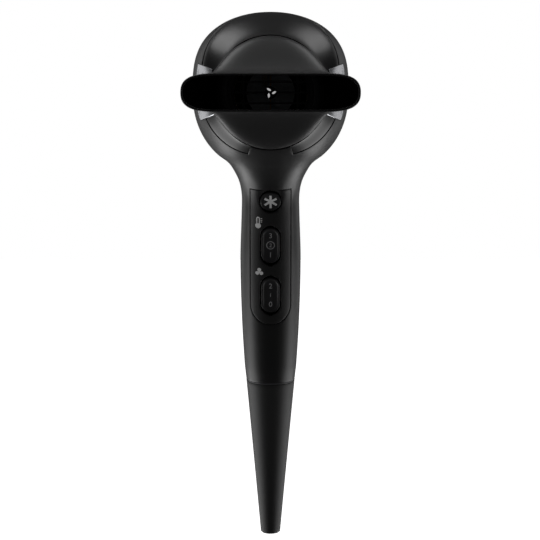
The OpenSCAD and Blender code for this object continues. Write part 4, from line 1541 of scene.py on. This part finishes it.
def wheel_tree(name: str, count: int, axis_h: float) -> Tree:
    """Repeats its shape, which is built about the origin, in a circle about the barrel axis.

    Args:
        name: The tree's name.
        count: How many copies.
        axis_h: The barrel axis's height.

    Returns:
        The tree.
    """
    tree = Tree(name, {"Count": count, "Place": (0.0, 0.0, axis_h * MM)})
    size = tree.start.outputs
    line = tree.node("GeometryNodeMeshLine", None, {"Count": size["Count"], "Offset": (0.0, 0.0, 0.0)})
    part = tree.maths("DIVIDE", tree.node("GeometryNodeInputIndex").outputs[0], size["Count"])
    turn = tree.vector(0.0, tree.maths("MULTIPLY", part, 2 * math.pi), 0.0)
    copies = tree.node("GeometryNodeInstanceOnPoints", None, {
        "Points": line.outputs[0], "Instance": size["Geometry"], "Rotation": turn})
    moved = tree.node("GeometryNodeTransform", None, {
        "Geometry": copies.outputs[0], "Translation": size["Place"]})
    tree.close(moved.outputs[0])
    return tree


def coil_tree(name: str, turns: float, radius: float, wire: float, start: Vector, length: float) -> Tree:
    """Winds a wire along +Y.

    Args:
        name: The tree's name.
        turns: How many turns.
        radius: The coil's radius to the middle of the wire.
        wire: The wire's radius.
        start: The middle of the first turn.
        length: The coil's length.

    Returns:
        The tree.
    """
    tree = Tree(name, {"Turns": float(turns), "Radius": radius * MM, "Wire": wire * MM, "Length": length * MM,
                       "Place": tuple(start * MM)})
    size = tree.start.outputs
    line = tree.node("GeometryNodeCurveSpiral", None, {
        "Resolution": 40, "Rotations": size["Turns"], "Start Radius": size["Radius"],
        "End Radius": size["Radius"], "Height": size["Length"]})
    round_wire = tree.node("GeometryNodeCurvePrimitiveCircle", None, {
        "Resolution": 8, "Radius": size["Wire"]})
    solid = tree.node("GeometryNodeCurveToMesh", None, {
        "Curve": line.outputs[0], "Profile Curve": round_wire.outputs[0], "Fill Caps": True})
    moved = tree.node("GeometryNodeTransform", None, {
        "Geometry": solid.outputs[0], "Translation": size["Place"], "Rotation": (-math.pi / 2, 0.0, 0.0)})
    tree.close(moved.outputs[0])
    return tree


def row_tree(name: str, count: int, first: Vector, last: Vector) -> Tree:
    """Repeats its shape, which is built about the origin, along a straight row.

    Args:
        name: The tree's name.
        count: How many copies.
        first: Where the first one goes.
        last: Where the last one goes.

    Returns:
        The tree.
    """
    tree = Tree(name, {"Count": count, "First": tuple(first * MM), "Last": tuple(last * MM)})
    size = tree.start.outputs
    line = tree.node("GeometryNodeMeshLine", {"mode": "END_POINTS"}, {
        "Count": size["Count"], "Start Location": size["First"], "Offset": size["Last"]})
    copies = tree.node("GeometryNodeInstanceOnPoints", None, {
        "Points": line.outputs[0], "Instance": size["Geometry"]})
    tree.close(copies.outputs[0])
    return tree


# ---------------------------------------------------------------- inner works


@dataclass(frozen=True)
class InnerWorks:
    """What shows through the outlet and the intake: grille, heater, fan and screws."""

    axis_h: float = 100.0
    spigot_in: float = 20.5
    hub_r: float = 3.2
    fan_front: float = 45.0
    fan_back: float = 58.0
    hub: float = 12.0
    tip: float = 28.4
    duct: float = 29.3

    def grille(self, finishes: "Finishes") -> None:
        """Makes the outlet grille: a rim, level bars, two uprights and a hub."""
        r = self.spigot_in - 0.05
        form = lathe([(r - 1.2, -72), (r, -72), (r, -69.6), (r - 1.2, -69.6)], self.axis_h, 72)
        level = bar_tree("grille_bars", 7, 5.5, r - 0.3, 0.9, 1.6, -71.2, 90, self.axis_h)
        upright = bar_tree("grille_uprights", 2, 28.2, r - 0.3, 0.9, 1.5, -71.15, 0, self.axis_h)
        form.add(level.form(finishes.grille), upright.form(finishes.grille))
        # Each corner's radius and Y.
        hub = [(0.0, -72.05), (self.hub_r - 0.4, -72.05), (self.hub_r, -71.7), (self.hub_r, -70.4),
               (0.0, -70.4)]
        loops = [[Vector((q * cosd(a), y, self.axis_h + q * sind(a))) for a in range(0, 360, 10)]
                 for q, y in ((max(q, 0.2), y) for q, y in hub)]
        form.add(Form().loft(loops, caps=True))
        make("outlet_grille_bars", form, Place("housing", ("outlet_grille",), "grille_plastic"),
             [finishes.grille],
             smooth=30)
        # The drops carry painted glints: white with a faint glow, for the bright marks of light at the hub.
        drop = []
        for k in steps(0, 1, 8):
            wide = 0.62 * math.sin(math.pi * min(1.0, 0.08 + 0.92 * k)) ** 0.7 + 0.02
            x = mix(0.7, 3.0, k)
            lean = 0.9 * (k - 0.5)
            drop.append([Vector((x - 0.2 * lean, -72.0 - 0.55 * wide * sind(b) * (sind(b) > 0),
                                 lean + wide * cosd(b))) for b in range(0, 360, 24)])
        drops = wheel_tree("hub_drops", 3, self.axis_h).form(finishes.painted_glint_white, Form().loft(drop, caps=True))
        make("hub_drops", drops, Place("housing", (), "trim_metal"), [finishes.painted_glint_white], smooth=60)

    def heater(self, finishes: "Finishes") -> None:
        """Winds the heater's wire."""
        coil = coil_tree("heater_coil", 9, 16.1, 0.6, Vector((0, -56, self.axis_h)), 43).form(finishes.wire)
        make("heater_coil", coil, Place("housing", ("heater_winding",), "heater_wire"), [finishes.wire],
             smooth=60)

    def fan(self, finishes: "Finishes") -> None:
        """Makes the fan: nine twisted blades on a hollow hub."""
        middle = (self.fan_front + self.fan_back) / 2
        loops = []
        for k in steps(0, 1, 10):
            r = mix(self.hub - 0.8, self.tip, k)
            t = (r - self.hub) / (self.duct - self.hub)
            pitch, chord = mix(48, 28, t), mix(12, 14, t)
            loop = []
            for i in range(20):
                a = 360 * i / 20
                u = 0.5 * chord * cosd(a)
                v = 0.55 * sind(a) * (1 - 0.35 * cosd(a)) + 0.9 * (1 - (2 * u / chord) ** 2)
                loop.append(Vector((r, middle + u * sind(pitch) + v * cosd(pitch),
                                    u * cosd(pitch) - v * sind(pitch))))
            loops.append(loop)
        blade = Form().loft(loops, caps=True)
        form = wheel_tree("fan_blades", 9, self.axis_h).form(finishes.impeller, blade)
        hub = [(1.5, 54), (1.5, 58), (10.4, 58), (11.5, 57.4), (12, 56.3), (12, 45), (10.4, 45), (10.4, 53.9)]
        form.add(lathe(hub, self.axis_h, 72))
        make("fan_wheel", form, Place("rotor", ("fan",), "fan_plastic"), [finishes.impeller], smooth=40)

    def screw(self, length: float, head_r: float, shank_r: float, head_h: float) -> Form:
        """Returns a pan-head screw along +Y, with a cross recess and a rolled thread."""
        slot, arm = head_r * 0.17, head_r * 0.62
        cross = []
        for k in range(4):
            a = 90 * k
            for x, y in ((slot, slot), (slot, arm), (-slot, arm)):
                cross.append((x * cosd(a) - y * sind(a), x * sind(a) + y * cosd(a)))
        top = Skin(circle(head_r * 0.8, 40), lambda x, z: Vector((x, head_h, z)), 0.5, [cross]).form()
        walls = spaced(cross, 0.5)
        recess = Form().loft([[Vector((x, y, z)) for x, z in walls] for y in (head_h, head_h * 0.35)])
        floor = Skin(cross, lambda x, z: Vector((x, head_h * 0.35, z)), 0.5).form()
        side = [(head_r * 0.8, head_h), (head_r * 0.94, head_h * 0.85), (head_r, head_h * 0.55),
                (head_r, 0.0)]
        side += [(shank_r, 0.0)]
        turns = max(4, round(length / 1.2))
        for k in range(turns):
            side += [(shank_r * 0.78, -length * (k + 0.3) / turns), (shank_r, -length * (k + 0.8) / turns)]
        side += [(0.15, -length - 0.4)]
        loops = [[Vector((x, y, z)) for x, z in circle(r, 40)] for r, y in side]
        body = Form().loft(loops)
        tip = len(body.verts)
        body.verts.append(Vector((0, -length - 0.45, 0)))
        body.faces += [(tip - 40 + i, tip - 40 + (i + 1) % 40, tip) for i in range(40)]
        return Form().add(top, recess, floor, body)

    def screws(self, finishes: "Finishes") -> None:
        """Makes the two long shell screws, one a row each because their lengths differ."""
        form = Form()
        for z, y, length in ((58.0, 12.05, 37.5), (-37.0, 17.05, 17.5)):
            spot = Vector((0, y, z))
            screw = self.screw(length, 2.6, 1.15, 1.8)
            form.add(row_tree("shell_screw", 1, spot, spot).form(finishes.steel, screw))
        make("shell_screw_pair", form, Place("housing", ("shell_screws",), "steel"), [finishes.steel],
             smooth=35)

    def build(self, finishes: "Finishes") -> None:
        """Makes the inner works."""
        self.grille(finishes)
        self.heater(finishes)
        self.fan(finishes)
        self.screws(finishes)


# ---------------------------------------------------------------- filter cap


@dataclass(frozen=True)
class FilterCap:
    """The cap over the intake with its slots and its wire mesh."""

    outline: Outline
    front: float = 62.3
    back: float = 84.0
    wall: float = 2.0
    slot_r: float = 24.6
    rounding: float = 3.0

    def point(self, y: float, a: float, off: float, at_y: float | None = None) -> Vector:
        """Returns the cap's point at depth y and angle a, off inside the surface."""
        o = self.outline
        v = (y - o.split_y) / o.rear
        z = o.head_height(v, sind(a) > 0) * signed_pow(sind(a), 2 / o.ring_n)
        wide = max(0.0, o.head_share(z) ** o.ring_n - v ** o.ring_n) ** (1 / o.ring_n)
        x = math.copysign(o.half_w * wide, cosd(a))
        inset = 1 - off / math.hypot(x, z)
        return Vector((x * inset, y if at_y is None else at_y, o.axis_h + z * inset))

    def body(self) -> Form:
        """Returns the cap's wall, its round shoulder and its back plate round the slots."""
        loops = []
        sides = 120
        for i in range(sides):
            a = 360 * i / sides
            line = [self.point(y, a, 0.0) for y in steps(self.front, self.back - self.rounding, 12)]
            line += [self.point(self.back - self.rounding * (1 - sind(q)), a,
                                self.rounding * 0.55 * (1 - cosd(q)))
                     for q in steps(15, 90, 6)]
            rim = Vector((self.slot_r * cosd(a), self.back, self.outline.axis_h + self.slot_r * sind(a)))
            line += [line[-1].lerp(rim, k) for k in (0.3, 0.6, 1.0)]
            inner_rim = rim - Vector((0, 1.9, 0))
            corner = self.point(self.back - 1.9, a, self.wall + 1.6)
            line += [inner_rim, inner_rim.lerp(corner, 0.5), corner]
            line += [self.point(y, a, self.wall) for y in steps(self.back - 4, self.front, 8)]
            loops.append(line)
        return Form().loft(loops, ring=True)

    def build(self, finishes: "Finishes") -> None:
        """Makes the cap, its slots, its skirt and the mesh behind them."""
        axis_h = self.outline.axis_h
        form = self.body()
        bars = bar_tree("cap_bars", 12, 4.2, self.slot_r + 0.4, 2.0, 1.7, self.back - 1.0, 0, axis_h)
        ties = bar_tree("cap_ties", 2, 17.0, self.slot_r + 0.3, 1.4, 1.2, self.back - 1.3, 90, axis_h)
        form.add(bars.form(finishes.shell), ties.form(finishes.shell))
        # Each corner's radius and Y.
        skirt = [(31.4, 56.0), (32.6, 56.0), (32.6, self.front), (34.0, self.front), (34.0, 63.7),
                 (32.6, 63.7), (32.6, 67.0), (31.4, 67.0)]
        form.add(lathe(skirt, axis_h))
        make("filter_cap_shell", form, Place("rear_cap", ("filter_cap",), "shell_plastic"), [finishes.shell],
             smooth=38)
        weave = Form()
        for turn, y in ((0, 65.35), (90, 65.6)):
            wires = bar_tree("mesh_wires", 41, 1.3, 27.3, 0.28, 0.28, y, turn, axis_h, rods=True)
            weave.add(wires.form(finishes.mesh))
        make("filter_weave", weave, Place("rear_cap", (), "mesh_steel"), [finishes.mesh], smooth=60)


def dress_frame(finishes: Finishes) -> None:
    """Gives the CAD nodes that stay in view their real materials."""
    kinds = {
        "rubber": ("cord_gland",),
        "barrel": ("barrel", "outlet_spigot", "fan_duct", "filter_frame"),
        "nozzle": ("nozzle_ring",),
        "mica": ("mica_sleeve", "mica_boards"),
        "nylon": ("thermostat", "motor_end_plate", "temperature_switch", "speed_switch"),
        "steel": ("thermal_fuse", "motor_can", "rocker_pins", "clamp_screws", "motor_shaft",
                  "fan_clip"),
        "magnet": ("motor_magnets",),
        "bronze": ("motor_bearings",),
        "carbon": ("brush_holder",),
        "grille": ("intake_guard", "cord_clamp", "cold_shot_switch"),
        "board": ("control_board",),
        "capacitor": ("capacitor",),
        "lead": ("heater_leads",),
        "copper": ("armature", "commutator"),
        "mesh": ("filter_mesh",),
    }
    for kind, nodes in kinds.items():
        for node in nodes:
            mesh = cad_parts[node].data
            mesh.materials.clear()
            mesh.materials.append(getattr(finishes, kind))


# ---------------------------------------------------------------- studio


@dataclass(frozen=True)
class Softbox:
    """One soft light: a rectangle that faces a point of the dryer."""

    name: str
    place: tuple[float, float, float]
    size: tuple[float, float]
    brightness: float
    aim: tuple[float, float, float] = (0.0, 0.0, 0.05)


@dataclass(frozen=True)
class Studio:
    """The floor, the soft lights and the camera."""

    distance: float = 1.22
    lens: float = 146.4
    tilt: float = 4.62
    floor_z: float = -0.45
    floor_half: float = 6.0

    def build(self) -> None:
        """Makes the studio round the finished dryer."""
        self.build_floor()
        boxes = (
            Softbox("light_left", (-1.15, -0.75, 0.4), (0.8, 1.0), 0.5),
            Softbox("light_right", (1.15, -0.75, 0.4), (0.8, 1.0), 0.35),
            Softbox("light_high_left", (-0.62, 0.2, 1.05), (0.8, 0.9), 2.9, (-0.62, 0.2, 0.0)),
            Softbox("light_high_right", (0.62, 0.2, 1.05), (0.8, 0.9), 2.4, (0.62, 0.2, 0.0)),
            Softbox("light_low_left", (-0.72, 0.25, -0.42), (0.9, 0.9), 2.7, (-0.72, 0.25, 0.0)),
            Softbox("light_low_right", (0.72, 0.25, -0.42), (0.9, 0.9), 2.2, (0.72, 0.25, 0.0)),
            Softbox("light_rear_left", (-0.95, 1.05, 0.2), (0.7, 1.4), 0.6),
            Softbox("light_rear_right", (0.95, 1.05, 0.2), (0.7, 1.4), 0.5),
        )
        for box in boxes:
            self.build_light(box)
        self.build_world()
        self.build_camera()

    def build_floor(self) -> None:
        """Lays the pale floor: a wide sheet of opal acrylic, lit from below."""
        half = self.floor_half
        rows = [[Vector((x, y, self.floor_z)) / MM for x in (-half, half)] for y in (-half, half)]
        mesh = Form().loft(rows, closed=False).mesh("floor", Turn.AS_BUILT)
        floor = new_piece("floor", mesh)
        opal = Finish("opal_acrylic", "#f6f6f6", 0.6, Surface.CAST, second="#f3f3f3", grain=60.0,
                      depth=0.2, glow=1.2).build()
        mesh.materials.append(opal)
        floor.visible_glossy = False
        floor.visible_diffuse = False

    def build_light(self, box: Softbox) -> None:
        """Hangs one soft light."""
        data = bpy.data.lights.new(box.name, "AREA")
        data.shape = "RECTANGLE"
        data.size, data.size_y = box.size
        data.energy = box.brightness * math.pi * box.size[0] * box.size[1]
        light = bpy.data.objects.new(box.name, data)
        light.location = box.place
        light.visible_camera = False
        light.rotation_euler = (Vector(box.aim) - light.location).to_track_quat("-Z", "Y").to_euler()
        bpy.context.scene.collection.objects.link(light)

    def build_world(self) -> None:
        """Sets a white surround that the lens sees and a dim one that lights the dryer."""
        world = bpy.data.worlds.new("studio")
        world.use_nodes = True
        tree = world.node_tree
        tree.nodes.clear()
        path = add_node(tree, "ShaderNodeLightPath")
        dim = add_node(tree, "ShaderNodeBackground", None, {"Color": linear("#ffffff"), "Strength": 0.04})
        white = add_node(tree, "ShaderNodeBackground", None, {"Color": linear("#ffffff"), "Strength": 1.0})
        mixed = add_node(tree, "ShaderNodeMixShader", None, {
            0: path.outputs["Is Camera Ray"], 1: dim.outputs[0], 2: white.outputs[0]})
        add_node(tree, "ShaderNodeOutputWorld", None, {"Surface": mixed.outputs[0]})
        bpy.context.scene.world = world
        bpy.context.scene.view_settings.view_transform = "Standard"

    def build_camera(self) -> None:
        """Stands the camera at the height of the barrel, straight in front of it."""
        data = bpy.data.cameras.new("camera")
        data.lens = self.lens
        data.sensor_width = 36.0
        camera = bpy.data.objects.new("camera", data)
        camera.location = (-0.0003, -self.distance, 0.1)
        camera.rotation_euler = (math.radians(90 - self.tilt), 0.0, 0.0)
        bpy.context.scene.collection.objects.link(camera)
        bpy.context.scene.camera = camera


def main() -> None:
    """Builds the dryer, piece by piece, and the studio round it."""
    logging.basicConfig(level=logging.INFO, format="%(name)s %(message)s")
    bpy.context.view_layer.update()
    finishes = Finishes()
    outline = Outline()
    rim = Rim(outline)
    shells = Shells(outline, rim)
    shells.build(finishes)
    HeadFront(rim).build(finishes)
    Concentrator().build(finishes)
    Controls(outline, shells).build(finishes)
    Tail(outline).build(finishes)
    InnerWorks().build(finishes)
    FilterCap(outline).build(finishes)
    dress_frame(finishes)
    Studio().build()


if __name__ == "__main__":
    main()
